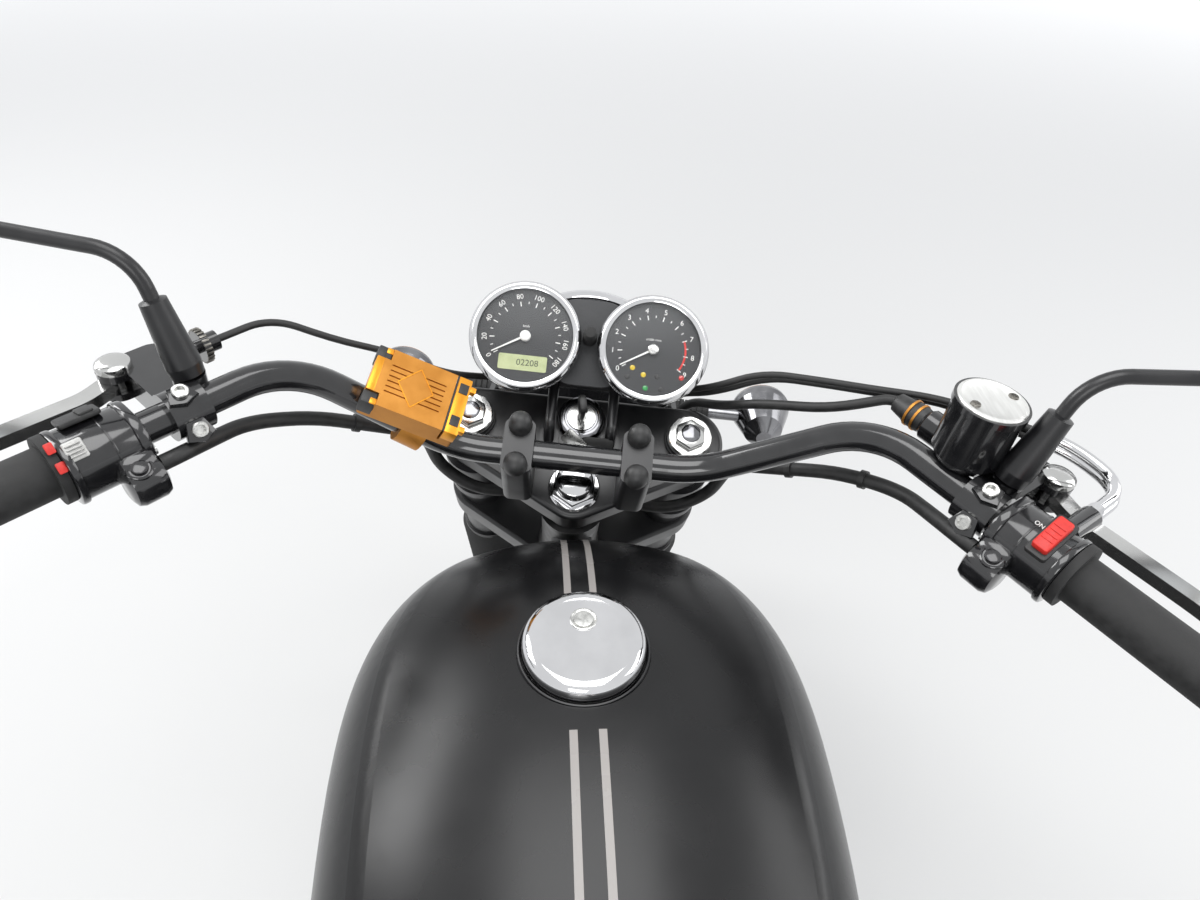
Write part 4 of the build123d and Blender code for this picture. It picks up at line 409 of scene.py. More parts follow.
def spun(profile, place, steps=64):
    """A lathe: (along, radius) corners in millimetres are spun about the Z axis of place."""
    bm = bmesh.new()
    corners = [bm.verts.new(spot(radius, 0, along)) for along, radius in profile]
    lines = [bm.edges.new(pair) for pair in zip(corners, corners[1:])]
    bmesh.ops.spin(bm, geom=corners + lines, cent=(0, 0, 0), axis=(0, 0, 1), angle=2 * pi, steps=steps, use_merge=True)
    bmesh.ops.remove_doubles(bm, verts=bm.verts, dist=TOUCHING)
    bmesh.ops.recalc_face_normals(bm, faces=bm.faces)
    bmesh.ops.transform(bm, matrix=place, verts=bm.verts)
    return bm


def washer(inner, outer, low, high):
    """The profile of a plain ring."""
    return [(low, inner), (low, outer), (high, outer), (high, inner), (low, inner)]


trial = spun(washer(10, 20, 0, 5), BIKE)
print("a spun washer has", len(trial.faces), "faces")
trial.free()

# %% [markdown]
# Nothing real has a perfectly sharp edge: a machined edge is broken with a file, and a moulded one
# has a radius. The thin bright line that such an edge catches is what makes a block look solid.

# %% Blocks
def eased(bm, edges, radius, segments=2):
    """Rounds these edges of a bmesh by a radius in millimetres."""
    bmesh.ops.bevel(bm, geom=edges, offset=radius * MM, offset_type="OFFSET", segments=segments, profile=0.5,
                    affect="EDGES", material=-1)


def block(size, place, radius=0.0):
    """A block of this size in millimetres about the middle of place, with rounded edges."""
    bm = bmesh.new()
    bmesh.ops.create_cube(bm, size=1.0)
    bmesh.ops.scale(bm, vec=spot(*size), verts=bm.verts)
    if radius:
        eased(bm, bm.edges[:], radius)
    bmesh.ops.transform(bm, matrix=place, verts=bm.verts)
    return bm


trial = block((20, 10, 5), BIKE, 1)
print("an eased block has", len(trial.faces), "faces")
trial.free()

# %% [markdown]
# Plates, nuts and buttons are cut from sheet or bar, so they start as a flat outline that is
# raised. Two outlines are enough for nearly all of them: a rectangle with round corners, and a
# hexagon.

# %% Raised outlines
def raised(bm, base, *offset):
    """Extrudes a face by an offset in millimetres, and turns all faces outwards."""
    grown = bmesh.ops.extrude_face_region(bm, geom=[base])
    top = [v for v in grown["geom"] if isinstance(v, bmesh.types.BMVert)]
    bmesh.ops.translate(bm, vec=spot(*offset), verts=top)
    bmesh.ops.recalc_face_normals(bm, faces=bm.faces)


def prism(outline, place, height, radius=0.0):
    """A flat outline in millimetres, raised by height along the Z axis of place, its edges eased."""
    bm = bmesh.new()
    raised(bm, bm.faces.new([bm.verts.new(spot(x, y, 0)) for x, y in outline]), 0, 0, height)
    if radius:
        eased(bm, [e for e in bm.edges if abs(e.verts[0].co.z - e.verts[1].co.z) < TOUCHING / 10], radius)
    bmesh.ops.transform(bm, matrix=place, verts=bm.verts)
    return bm


def round_outline(width, height, radius, steps=6):
    """The corners of a rounded rectangle, anticlockwise."""
    corners = []
    for cx, cy, start in ((1, 1, 0), (-1, 1, 90), (-1, -1, 180), (1, -1, 270)):
        for n in range(steps + 1):
            a = radians(start + 90 * n / steps)
            corners.append((cx * (width / 2 - radius) + radius * cos(a), cy * (height / 2 - radius) + radius * sin(a)))
    return corners


def hexagon(radius):
    """The corners of a hexagon, as for a bolt head."""
    return [(radius * cos(radians(60 * n)), radius * sin(radians(60 * n))) for n in range(6)]


trial = prism(hexagon(10), BIKE, 6, 1)
print("an eased nut has", len(trial.faces), "faces")
trial.free()

# %% [markdown]
# A piece is often several shapes in one, such as a cap and its nut. `piece` merges them into one
# object, shades it, gives it its finish and lets it ride on a body of the frame. Where the piece
# is a finer version of a CAD node, it also says which node it stands for.

# %% Pieces
def merged(whole, shape):
    """Adds one bmesh to another and frees it."""
    mesh = bpy.data.meshes.new("shape")
    shape.to_mesh(mesh)
    shape.free()
    whole.from_mesh(mesh)
    bpy.data.meshes.remove(mesh)


def piece(name, shapes, material, body, stands_for=(), crease=35):
    """One object from one or several bmeshes: merged, shaded, finished and riding on its body."""
    whole = bmesh.new()
    for shape in shapes if isinstance(shapes, list) else [shapes]:
        merged(whole, shape)
    mesh = bpy.data.meshes.new(name)
    whole.to_mesh(mesh)
    whole.free()
    mesh.polygons.foreach_set("use_smooth", [True] * len(mesh.polygons))
    mesh.set_sharp_from_angle(angle=radians(crease))
    mesh.materials.append(material)
    made = bpy.data.objects.new(name, mesh)
    scene.collection.objects.link(made)
    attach(made, body)
    if stands_for:
        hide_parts(*stands_for)
    print(name, "faces", len(mesh.polygons))


# %% [markdown]
# Printed words start as Blender's own text. It is given a little thickness, made a mesh and laid
# on the surface, because a text object can't be turned with its place in its mesh.

# %% Words
def lettering(words, height, place, thick=0.05):
    """Flat printed words, centred on place, as a bmesh."""
    text = bpy.data.curves.new("words", "FONT")
    text.body = words
    text.size = height * MM
    text.align_x = text.align_y = "CENTER"
    text.extrude = thick * MM
    text.resolution_u = 3
    made = bpy.data.objects.new("words", text)
    mesh = bpy.data.meshes.new_from_object(made)
    bm = bmesh.new()
    bm.from_mesh(mesh)
    bpy.data.objects.remove(made)
    bpy.data.curves.remove(text)
    bpy.data.meshes.remove(mesh)
    bmesh.ops.remove_doubles(bm, verts=bm.verts, dist=TOUCHING / 10)
    bmesh.ops.transform(bm, matrix=place, verts=bm.verts)
    return bm


trial = lettering("120", 10, BIKE)
print("three figures have", len(trial.faces), "faces")
trial.free()

# %% [markdown]
# ## The clocks
# Two round instruments are the first thing that the rider sees: a black cup, a deep chrome bezel,
# and a dark face behind domed glass. The cup is a CAD piece. The other three are lathe shapes on
# its axis, which leans back towards the rider.

# %% Bezels, faces and glasses
CLOCK_TILT = radians(48)
CLOCK_R = 46.0
INNER_R = CLOCK_R - 6.5
FACE_DEPTH = -4.8
CLOCK_AT = {"speed": (106, 53, 63), "revs": (106, -53, 63)}
clock_face = tipped(-cos(CLOCK_TILT), 0, sin(CLOCK_TILT))
clock_up = tipped(sin(CLOCK_TILT), 0, cos(CLOCK_TILT))
CLOCK = {name: FORK @ facing(at, clock_face, clock_up) for name, at in CLOCK_AT.items()}
BEZEL = [(-14, CLOCK_R - 3.2), (-14, CLOCK_R - 1), (-12, CLOCK_R), (-4, CLOCK_R + 0.4), (-1, CLOCK_R - 0.4),
         (0.8, CLOCK_R - 2.4), (1.0, CLOCK_R - 4.4), (0.2, INNER_R), (FACE_DEPTH, INNER_R - 0.4),
         (FACE_DEPTH, CLOCK_R - 3.2), (-14, CLOCK_R - 3.2)]
CARD = [(FACE_DEPTH, 0), (FACE_DEPTH, INNER_R - 0.5), (FACE_DEPTH - 0.3, INNER_R - 0.5), (FACE_DEPTH - 0.3, 0)]
DOMED = [(-0.6, INNER_R + 0.2), (0.4, INNER_R - 8), (1.4, INNER_R * 0.5), (1.9, 0), (1.5, 0), (1.0, INNER_R * 0.5),
         (0.0, INNER_R - 8), (-1.0, INNER_R + 0.2), (-0.6, INNER_R + 0.2)]
for name, place in CLOCK.items():
    piece(f"clock_bezel_{name}", spun(BEZEL, place, 96), chrome, "steering")
    piece(f"clock_card_{name}", spun(CARD, shifted(place, 0, 0, 0.4), 72), dial_face, "steering")
    piece(f"clock_glass_{name}", spun(DOMED, place), dial_glass, "steering")

# %% [markdown]
# The figures follow the real sweep: nought low on the left, the highest low on the right, and even
# steps between them. So one function gives the angle at a share of the sweep, and another gives
# the place on the face at that angle. The left figures turn with the dial, and the right ones
# stand upright.

# %% Figures
CARD_TOP = FACE_DEPTH + 0.45
SWEEP_START, SWEEP_END = 213.5, -33.5
FIGURES = 9


def swept(share):
    """The angle at this share of the sweep, in degrees."""
    return SWEEP_START + (SWEEP_END - SWEEP_START) * share


def on_dial(place, angle, radius, lift=0.0):
    """A place on the face at this angle and radius, upright as the rider sees it."""
    a = radians(angle)
    return shifted(place, radius * cos(a), radius * sin(a), CARD_TOP + lift)


speed, revs = CLOCK["speed"], CLOCK["revs"]
figures = []
for n in range(FIGURES + 1):
    angle = swept(n / FIGURES)
    figures.append(lettering(str(20 * n), 6.0, turned(on_dial(speed, angle, 33.6), angle - 90)))
    figures.append(lettering(str(n), 6.2, on_dial(revs, angle, 33.4)))
figures.append(lettering("km/h", 2.8, on_dial(speed, 90, 8.5)))
figures.append(lettering("x1000 r/min", 2.6, on_dial(revs, 90, 8.5)))
piece("dial_figures", figures, dial_ink, "steering")

# %% [markdown]
# Ticks are little blocks set out on an arc, every second one long. The last two thousand turns of
# the right dial are marked by a row of small red blocks.

# %% Ticks and the red line
TICK_OUTER, TICK_LONG, TICK_WIDE = 29.4, 4.0, 0.8
RED_FROM, RED_BLOCKS, RED_RADIUS = 7.0, 14, 27.0
INK_THICK = 0.12
ticks, red_arc = [], []
for place in (speed, revs):
    for n in range(2 * FIGURES + 1):
        angle = swept(n / (2 * FIGURES))
        length, width = (TICK_LONG, TICK_WIDE) if n % 2 == 0 else (TICK_LONG * 0.55, TICK_WIDE * 0.7)
        ticks.append(block((length, width, INK_THICK), turned(on_dial(place, angle, TICK_OUTER - length / 2), angle)))
piece("dial_ticks", ticks, dial_ink, "steering")
for n in range(RED_BLOCKS):
    angle = swept((RED_FROM + (FIGURES - RED_FROM) * (n + 0.5) / RED_BLOCKS) / FIGURES)
    red_arc.append(block((1.6, 2.1, INK_THICK), turned(on_dial(revs, angle, RED_RADIUS), angle)))
piece("red_line", red_arc, red_ink, "steering")

# %% [markdown]
# Both needles rest at nought. Each is a thin tapered strip, because a round one would look like a
# wire, and its hub is a small turned button that stands over it.

# %% Needles
NEEDLE = [(0, -0.9), (30.5, -0.45), (30.5, 0.45), (0, 0.9)]
HUB = [(0.0, 0), (0.0, 4.6), (2.6, 4.4), (3.2, 3.6), (3.3, 0)]
piece("needles", [prism(NEEDLE, turned(on_dial(place, 0, 0, 1.6), SWEEP_START - 3), 0.5) for place in (speed, revs)],
      dial_ink, "steering")
piece("speed_hub", spun(HUB, on_dial(speed, 0, 0, 0.4), 32), dial_ink, "steering")
piece("revs_hub", spun(HUB, on_dial(revs, 0, 0, 0.4), 32), zinc, "steering")

# %% [markdown]
# The left face has a pale display with the distance in it. The right one has its warning lamps:
# low coloured domes, none of them lit, because the engine is off.

# %% Display and warning lamps
display = shifted(speed, 0, -22.4, CARD_TOP)
piece("display", prism(round_outline(40, 13, 1.4), display, 0.16), pale_lcd, "steering")
piece("display_figures", lettering("02208", 7.4, shifted(display, 4, 0, 0.25), 0.03), lcd_ink, "steering")
LAMP = [(0, 0), (0, 2.2), (0.3, 2.0), (0.5, 1.2), (0.55, 0)]
LAMPS = [
    ("lamp_yellow", yellow_lens, [(-15.5, -16.5), (-6.0, -21.5)]),
    ("lamp_green", green_lens, [(-3.5, -32.5)]),
    ("lamp_red", red_lens, [(25.5, -21.0)]),
    ("lamp_off", moulded, [(5.5, -22.0), (9.5, -32.5), (-19.0, -24.5)]),
]
for name, lens, places in LAMPS:
    piece(name, [spun(LAMP, shifted(revs, x, y, CARD_TOP), 20) for x, y in places], lens, "steering")

# %% [markdown]
# A black panel closes the gap between the two clocks, with the knob that sets the display in its
# middle. The panel is a raised outline with large round corners, and the knob is turned.

# %% Panel between the clocks
knob = FORK @ facing((112, 0, 66), clock_face, clock_up)
piece("dash_panel", prism(round_outline(58, 74, 16), shifted(knob, 0, -3, -24), 4, 0.8), dial_face, "steering")
piece("dash_knob", spun([(-30, 0), (-30, 6), (-2, 6), (2, 5.4), (4, 4), (4.6, 0)], knob, 32), grip_rubber, "steering")

# %% [markdown]
# ## Tank paint and pinstripes
# The tank is satin black, with two thin silver lines that run from the steering head, stop at the
# filler, and go on towards the seat. A line painted on a curved body is easiest in the material:
# it is where the distance from the centre line falls between two values. Object coordinates are
# the frame's own, so the numbers are plain metres.

# %% Two silver lines
LINE_MIDDLE, LINE_HALF = 0.0093, 0.0026
LINE_GAP_MIDDLE, LINE_GAP_HALF = 0.191, 0.056
LINE_LOWEST = 0.84
LINE_SILVER = (0.33, 0.31, 0.295, 1)


def pinstriped(material):
    """Mixes two silver lines over a paint, each a narrow band of |y|."""
    tree = material.node_tree
    shader = tree.nodes["Principled BSDF"]
    apart = add_node(tree, "SeparateXYZ")
    tree.links.new(add_node(tree, "TexCoord").outputs["Object"], apart.inputs[0])

    def step(kind, value, number):
        """One sum on a socket's value, with a number or another socket."""
        node = add_node(tree, "Math", kind)
        tree.links.new(value, node.inputs[0])
        if isinstance(number, float):
            node.inputs[1].default_value = number
        else:
            tree.links.new(number, node.inputs[1])
        return node.outputs[0]

    def from_value(value, number):
        """How far a value is from a number."""
        return step("ABSOLUTE", step("SUBTRACT", value, number), 0.0)

    off_centre = step("ABSOLUTE", apart.outputs["Y"], 0.0)
    inside = step("LESS_THAN", from_value(off_centre, LINE_MIDDLE), LINE_HALF)
    clear_of_cap = step("GREATER_THAN", from_value(apart.outputs["X"], LINE_GAP_MIDDLE), LINE_GAP_HALF)
    on_top = step("GREATER_THAN", apart.outputs["Z"], LINE_LOWEST)
    mask = step("MULTIPLY", step("MULTIPLY", inside, on_top), clear_of_cap)
    tint = add_node(tree, "Mix")
    tint.data_type = "RGBA"
    tint.inputs["B"].default_value = LINE_SILVER
    tree.links.new(mask, tint.inputs["Factor"])
    tree.links.new(shader.inputs["Base Color"].links[0].from_socket, tint.inputs["A"])
    tree.links.new(tint.outputs["Result"], shader.inputs["Base Color"])


print("pinstripes", round(2 * LINE_HALF / MM, 1), "mm wide,", round(2 * LINE_MIDDLE / MM, 1), "mm apart")

# %% [markdown]
# The paint under the lines is smoother than the satin of the forks, with slow wide clouds in it,
# as a large painted sheet has. Its reflections are held down, so the top stays black under the
# lamps.

# %% Tank paint
tank_paint = finish("tank_paint", (0.006, 0.006, 0.0065), (0.009, 0.009, 0.0095), (0.24, 0.3),
                    grain=14, bump=0.04, bump_scale=420, Specular_IOR_Level=0.35)
pinstriped(tank_paint)
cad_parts["fuel_tank"].data.materials[0] = tank_paint
print("tank paint nodes", len(tank_paint.node_tree.nodes))

# %% [markdown]
# ## The filler cap
# A heavy turned cap with a rolled edge sits in a shallow well, and a small lock cover lies towards
# the front. The whole cap lifts with its own joint, so each of its pieces rides on it. The thin
# ring round the well is part of the tank and stays behind.

# %% Filler cap
CAP_X, TANK_TOP, CAP_R, WELL_R = 196.0, 944.0, 42.5, 45.8
cap = Matrix.Translation(spot(CAP_X, 0, TANK_TOP - 9.7))
piece("cap_shell", spun([
    (0, 0), (0, CAP_R - 1), (8, CAP_R - 1), (9, CAP_R - 0.2), (12, CAP_R), (17, CAP_R - 0.2), (20, CAP_R - 1.4),
    (22, CAP_R - 3.6), (23, CAP_R - 7), (23.3, CAP_R - 9), (22.9, CAP_R - 10), (23.2, 20), (23.4, 0)], cap, 96),
    chrome, "fuel_cap", stands_for=("fuel_cap",))
lock = shifted(cap, 14, 0, 23.1)
piece("cap_lock", [
    spun([(0, 0), (0, 9.4), (0.9, 9.2), (1.1, 8.4), (0.6, 7.6), (0.6, 0)], lock, 48),
    spun([(0.5, 0), (0.5, 6.9), (1.3, 6.6), (1.5, 5.5), (1.5, 0)], lock, 40),
    prism(round_outline(7, 1.6, 0.5, 3), shifted(lock, 0, 0, 1.45), 0.25)], zinc, "fuel_cap")
piece("filler_ring", spun([
    (0.2, CAP_R + 1.0), (0.2, WELL_R), (8.6, WELL_R), (10.6, 45.2), (10.9, 44.2), (10.0, CAP_R + 1.0),
    (0.2, CAP_R + 1.0)], shifted(cap, 0, 0, -0.1), 96), satin_black, "root")

# %% [markdown]
# ## Top yoke furniture
# Between the clocks and the tank sit the things that a rider touches with a spanner or a key. Two
# bright fork caps close the fork tubes, each with a hexagon and a darker adjuster on it, and a
# chromed nut with a plug in it holds the yoke on its stem.

# %% Fork caps and stem nut
FORK_OFFSET, FORK_HALF = 54.04, 94.0
caps, tops = [], []
for side in (1, -1):
    leg = shifted(FORK, FORK_OFFSET, side * FORK_HALF, 9)
    caps.append(spun([(0.1, 0), (0.1, 18.6), (1.8, 18.6), (2.6, 17.6), (2.6, 0)], leg, 48))
    caps.append(prism(hexagon(13.5), shifted(leg, 0, 0, 2.4), 6.4, 0.8))
    tops.append(spun([(7.0, 0), (7.0, 8.6), (9.6, 8.2), (10.4, 6.6), (10.4, 0)], leg, 40))
piece("fork_caps", caps, polished, "steering")
piece("fork_adjusters", tops, dark_chrome, "steering")
stem = shifted(FORK, 0, 0, 0.2)
piece("stem_nut", [
    spun([(0, 13), (0, 21.6), (3.0, 21.6), (4.4, 20.4), (4.4, 13)], stem),
    prism(hexagon(19.6), shifted(stem, 0, 0, 4.3), 8.0, 1.2),
    spun([(12, 0), (12, 16.0), (18, 15.6), (21, 14.0), (22.4, 11), (22.6, 0)], stem, 48)], chrome, "steering")

# %% [markdown]
# The ignition lock is a dark collar round a barrel, with the key turned a little in it. The key
# has a moulded head, and a split ring carries a metal tag and a short strap that lie on the yoke.

# %% Ignition lock and key
SWITCH_F = FORK_OFFSET + 8
lock_place = shifted(FORK, SWITCH_F, 0, 0)
piece("lock_collar", [
    spun([(-50, 0), (-50, 19.5), (0.5, 19.5)], lock_place),
    spun([(0.4, 15), (0.4, 20.6), (6, 20.6), (8.4, 19.4), (9.4, 17.4), (9.4, 15), (8.2, 14.2), (8.2, 0)], lock_place)],
    dark_chrome, "steering", stands_for=("ignition_switch",))
key_place = turned(shifted(lock_place, 0, 0, 9), 12)
piece("key_blade", [block((8.0, 2.4, 14), shifted(key_place, 0, 0, 6), 0.4),
                    spun([(-0.4, 0), (-0.4, 12.6), (0.6, 12.2), (0.8, 0)], key_place, 40)], polished, "steering")
key_head = key_place @ facing((0, 0, 20), (0, 1, 0))
piece("key_head", prism(round_outline(17, 25, 7), shifted(key_head, 0, 0, -3), 6, 1.6), moulded, "steering")
ring = key_place @ facing((-9, 0, 18), (0.35, 0.9, 0.2))
piece("key_ring", spun(washer(7.4, 9.0, -0.8, 0.8), ring, 32), zinc, "steering")
tag = FORK @ facing((SWITCH_F - 25, 4, 13.5), (-0.62, 0.1, 0.78), (0.6, 0.8, 0.3))
piece("key_tag", prism(round_outline(13, 21, 2.5, 4), tag, 1.6, 0.5), zinc, "steering")
fob = FORK @ facing((SWITCH_F - 23, -16, 11), (-0.5, -0.1, 0.86), (0, 1, 0))
piece("key_fob", prism(round_outline(9, 26, 3.5), fob, 3.0, 0.9), hose_rubber, "steering")

# %% [markdown]
# ## Working along the handlebar
# The outer runs of the bar point out, back and up all at once. So a small function gives a place
# beside the bar: so far in from its end, so far ahead of it and so far above it. Its X points to
# the rider's right, Y ahead and Z up, on both sides alike.

# %% Places beside the bar
BAR_CORNER = Vector((30, 215, 121))
BAR_END = Vector((-172, 399, 218))


def beside_bar(side, back, ahead=0.0, above=0.0):
    """A place by the outer run of the bar, in the fork's own frame, in millimetres."""
    flip = Vector((1, side, 1))
    end = BAR_END * flip
    run = (end - BAR_CORNER * flip).normalized()
    forward = tipped(1, 0, 0)
    forward = (forward - run * forward.dot(run)).normalized()
    up = run.cross(forward)
    if up.z < 0:
        up = -up
    axes = Matrix((forward.cross(up), forward, up)).transposed().to_4x4()
    return Matrix.Translation((end - run * back + forward * ahead + up * above) * MM) @ axes


def on_grip_side(side, back, ahead=0.0, above=0.0, towards=(0, 0, 1), roll=None):
    """The same place in the world, its Z turned towards a direction given as right, ahead, up."""
    return FORK @ beside_bar(side, back, ahead, above) @ facing((0, 0, 0), towards, roll)


print("bar end", tuple(round(v, 3) for v in (FORK @ beside_bar(1, 0)).translation))

# %% [markdown]
# ## Switches
# Each switch housing is a short drum round the bar, and the cables beside it are tubes. Both can
# be made from one ring that is extruded again and again, and carried to its next place each time.

# %% A travelling ring
def grown_along(bm, places):
    """Carries a ring through a list of places: extruded from each to the next, closed at both ends."""
    ring, was = bm.edges[:], BIKE
    for n, here in enumerate(places):
        if n:
            grown = bmesh.ops.extrude_edge_only(bm, edges=ring)["geom"]
            ring = [e for e in grown if isinstance(e, bmesh.types.BMEdge) and e.is_boundary]
        corners = list(dict.fromkeys(v for e in ring for v in e.verts))
        bmesh.ops.transform(bm, matrix=here @ was.inverted(), verts=corners)
        was = here
    bmesh.ops.holes_fill(bm, edges=[e for e in bm.edges if e.is_boundary], sides=0)
    bmesh.ops.recalc_face_normals(bm, faces=bm.faces)
    return bm


trial = bmesh.new()
bmesh.ops.create_circle(trial, segments=8, radius=1.0)
grown_along(trial, [BIKE, shifted(BIKE, 0, 0, 1000), shifted(BIKE, 0, 0, 2000)])
print("a ring of 8 carried twice has", len(trial.faces), "faces")
trial.free()

# %% [markdown]
# A drum's section is softer than a rectangle and fuller than an ellipse, so a circle's corners are
# pushed out to that curve. The ring then grows along the drum, and is a little smaller at both
# ends, which rounds them. Blender's circle starts on Y, so a quarter turn makes it start on X.

# %% Drums
SOFTNESS = 2.5
DRUM_AROUND = 56
START_AT_X = Matrix.Rotation(-pi / 2, 4, "Z")


def drum(place, length, half_wide, half_high, edge):
    """A lozenge shaped drum along Z with rounded ends, its section a soft ellipse."""
    bm = bmesh.new()
    bmesh.ops.create_circle(bm, segments=DRUM_AROUND, radius=1.0, matrix=START_AT_X)
    for vert in bm.verts:
        vert.co *= (abs(vert.co.x) ** SOFTNESS + abs(vert.co.y) ** SOFTNESS) ** (-1 / SOFTNESS)
    places = []
    for z, inset in ((0, edge), (edge * 0.3, edge * 0.3), (edge, 0), (length - edge, 0),
                     (length - edge * 0.3, edge * 0.3), (length, edge)):
        size = Matrix.Diagonal(((half_wide - inset) * MM, (half_high - inset) * MM, MM, 1))
        places.append(Matrix.Translation(spot(0, 0, z)) @ size)
    grown_along(bm, places)
    bmesh.ops.transform(bm, matrix=place, verts=bm.verts)
    return bm


trial = drum(BIKE, 50, 23, 21, 3)
print("a drum has", len(trial.faces), "faces")
trial.free()

# %% [markdown]
# The main drum sits round the bar, and two smaller lobes behind it give room for the rider's
# thumb. On the right, a round boss takes the throttle cables. Each housing closes with a raised
# collar at both ends and two cap screws.

# %% Switch housings
HOUSING = (130.2, 180.2)
LOBE_BACK = HOUSING[1] - 14
SHELL_DRUMS = [
    # back, ahead, above, then length, half width, half height and edge
    (HOUSING[1], -3, 0, (HOUSING[1] - HOUSING[0], 23, 21.4, 3.5)),
    (LOBE_BACK + 12, -30, -14, (24, 13.6, 13.6, 5)),
    (LOBE_BACK + 11, -21, -8, (22, 14, 14, 4)),
]
COLLAR_DRUMS = [
    (HOUSING[0] + 0.2, -3, 0, (5.0, 24.6, 23.0, 1.2)),
    (HOUSING[1] - 8.0, -3, 0, (6.4, 24.6, 23.0, 1.2)),
    (158, -3, 0, (1.4, 23.6, 22.0, 0.4)),
]


def bolt_head(place, radius, height):
    """A round cap screw head with a socket sunk in it."""
    return spun([(0, 0), (0, radius), (height * 0.85, radius), (height, radius * 0.88), (height, radius * 0.6),
                 (height * 0.35, radius * 0.56), (height * 0.35, 0)], place, 20)


shells, collars, screws = [], [], []
for side in (1, -1):
    for drums, outwards, made in ((SHELL_DRUMS, -side, shells), (COLLAR_DRUMS, side, collars)):
        for back, ahead, above, size in drums:
            made.append(drum(on_grip_side(side, back, ahead, above, (outwards, 0, 0)), *size))
    screws += [bolt_head(on_grip_side(side, HOUSING[1], ahead, -5, (side, 0, 0)), 3.0, 1.6) for ahead in (17, -18)]
shells.append(spun([(0, 0), (0, 8), (29, 8), (30, 7), (30, 0)], on_grip_side(-1, 146, 12, 14, (0, 1, 0)), 36))
piece("switch_shells", shells, gloss_black, "steering", stands_for=("switch_housings",))
piece("switch_collars", collars, gloss_black, "steering")
piece("switch_screws", screws, zinc, "steering")

# %% [markdown]
# The left housing carries the dip rocker on top, the indicator slider that faces the rider, and
# the horn button. The rocker and slider are stacks of rounded plates, with fine ribs for grip.

# %% Left switches
rocker = on_grip_side(1, 152, 8, 21.2, (0, 0.3, 1), (0, 1, 0))
slider = on_grip_side(1, 139, -15, 17.6, (0, -0.72, 0.7), (0, 0.7, 0.7))
piece("dip_rocker", [prism(round_outline(26, 15, 2.5), rocker, 3.4, 1.0),
                     prism(round_outline(9, 12, 1.5), shifted(rocker, 5, 0, 3.0), 1.8, 0.6)], moulded, "steering")
ribs = [block((9, 1.1, 1.4), shifted(slider, 0, 3.6 - 2.4 * n, 4.4), 0.3) for n in range(4)]
piece("indicator_slider", [prism(round_outline(12, 13, 1.5), shifted(slider, 0, 0, -1), 5.0, 0.9), *ribs],
      cast_metal, "steering")
piece("slider_marks", [prism(round_outline(5, 7, 1), shifted(slider, -11, y, 0.6), 1.6, 0.4) for y in (-6, 7)],
      red_ink, "steering")

# %% [markdown]
# Starter and horn are the same round button, mirrored: a collar with a small domed plunger in it.
# The right housing also has the red stop switch, with its two words beside it.

# %% Round buttons and right switches
for name, side in (("horn_button", 1), ("start_button", -1)):
    at = on_grip_side(side, LOBE_BACK - 2, -33, -1.5, (0, -0.35, 1), (0, 1, 0.35))
    piece(name, [spun([(-3, 0), (-3, 8.4), (1.6, 8.4), (2.4, 7.6), (2.6, 6.8), (1.8, 6.4), (1.8, 0)], at, 36),
                 spun([(1.6, 0), (1.6, 5.4), (3.4, 5.2), (4.0, 4.0), (4.1, 0)], at, 32)], gloss_black, "steering")
stop_at = on_grip_side(-1, 147, -10, 20.6, (0, -0.42, 0.9), (0, 0.9, 0.42))
piece("stop_base", prism(round_outline(15, 34, 2.5), shifted(stop_at, 0, 0, -2), 4.2, 0.8), moulded, "steering")
ribs = [block((8.5, 1.2, 1.2), shifted(stop_at, 0, 6 - 4 * n, 7.2), 0.3) for n in range(4)]
piece("stop_switch", [prism(round_outline(11, 27, 2), shifted(stop_at, 0, 0, 1.6), 5.6, 1.2), *ribs],
      red_ink, "steering")
piece("stop_words", [lettering("ON", 4.2, shifted(stop_at, -10.5, 2, 1.6)),
                     lettering("OFF", 4.2, shifted(stop_at, -11, -8, 0.8))], dial_ink, "steering")

# %% [markdown]
# ## Levers and perches
# Bright bolts pinch each perch round the bar, and a polished cap hides the lever's pivot. A lug is
# an outline with slanted sides, raised and eased, and the bolt on it and the cap are turned.

# %% Perch furniture
PERCH_BACK = {1: 212.2, -1: 196.2}
PIVOT_AHEAD, PIVOT_OUT = 60.0, 16.0
PINCH_BOLTS = ((-6, 17.2, (0, -0.35, 0.95)), (-19.5, -4, (0, -0.85, 0.55)))
lugs, bolts, pivots = [], [], []
for side, back in PERCH_BACK.items():
    for ahead, above, towards in PINCH_BOLTS:
        at = on_grip_side(side, back - 2, ahead, above, towards, (0, 1, 0.2))
        lugs.append(prism([(-10, -5), (0, -9), (10, -5), (6, 7), (-6, 7)], shifted(at, 0, 0, -3), 5.0, 1.2))
        bolts.append(bolt_head(shifted(at, 0, 0, 1.8), 5.4, 4.0))
    pivot = on_grip_side(side, back - PIVOT_OUT, PIVOT_AHEAD, 10)
    pivots.append(spun([(0, 0), (0, 11.6), (3.2, 12.0), (5.0, 11.4), (6.4, 9.4), (6.8, 6), (7.0, 0)], pivot, 48))
piece("perch_lugs", lugs, gloss_black, "steering")
piece("perch_bolts", bolts, zinc, "steering")
piece("pivot_caps", pivots, polished, "steering")

# %% [markdown]
# The pot of brake fluid has a pale metal lid with two small screws. Where the brake hose leaves
# the pump, a rubber boot with two orange bands covers the union. On the clutch side a knurled
# wheel takes up the cable's slack.

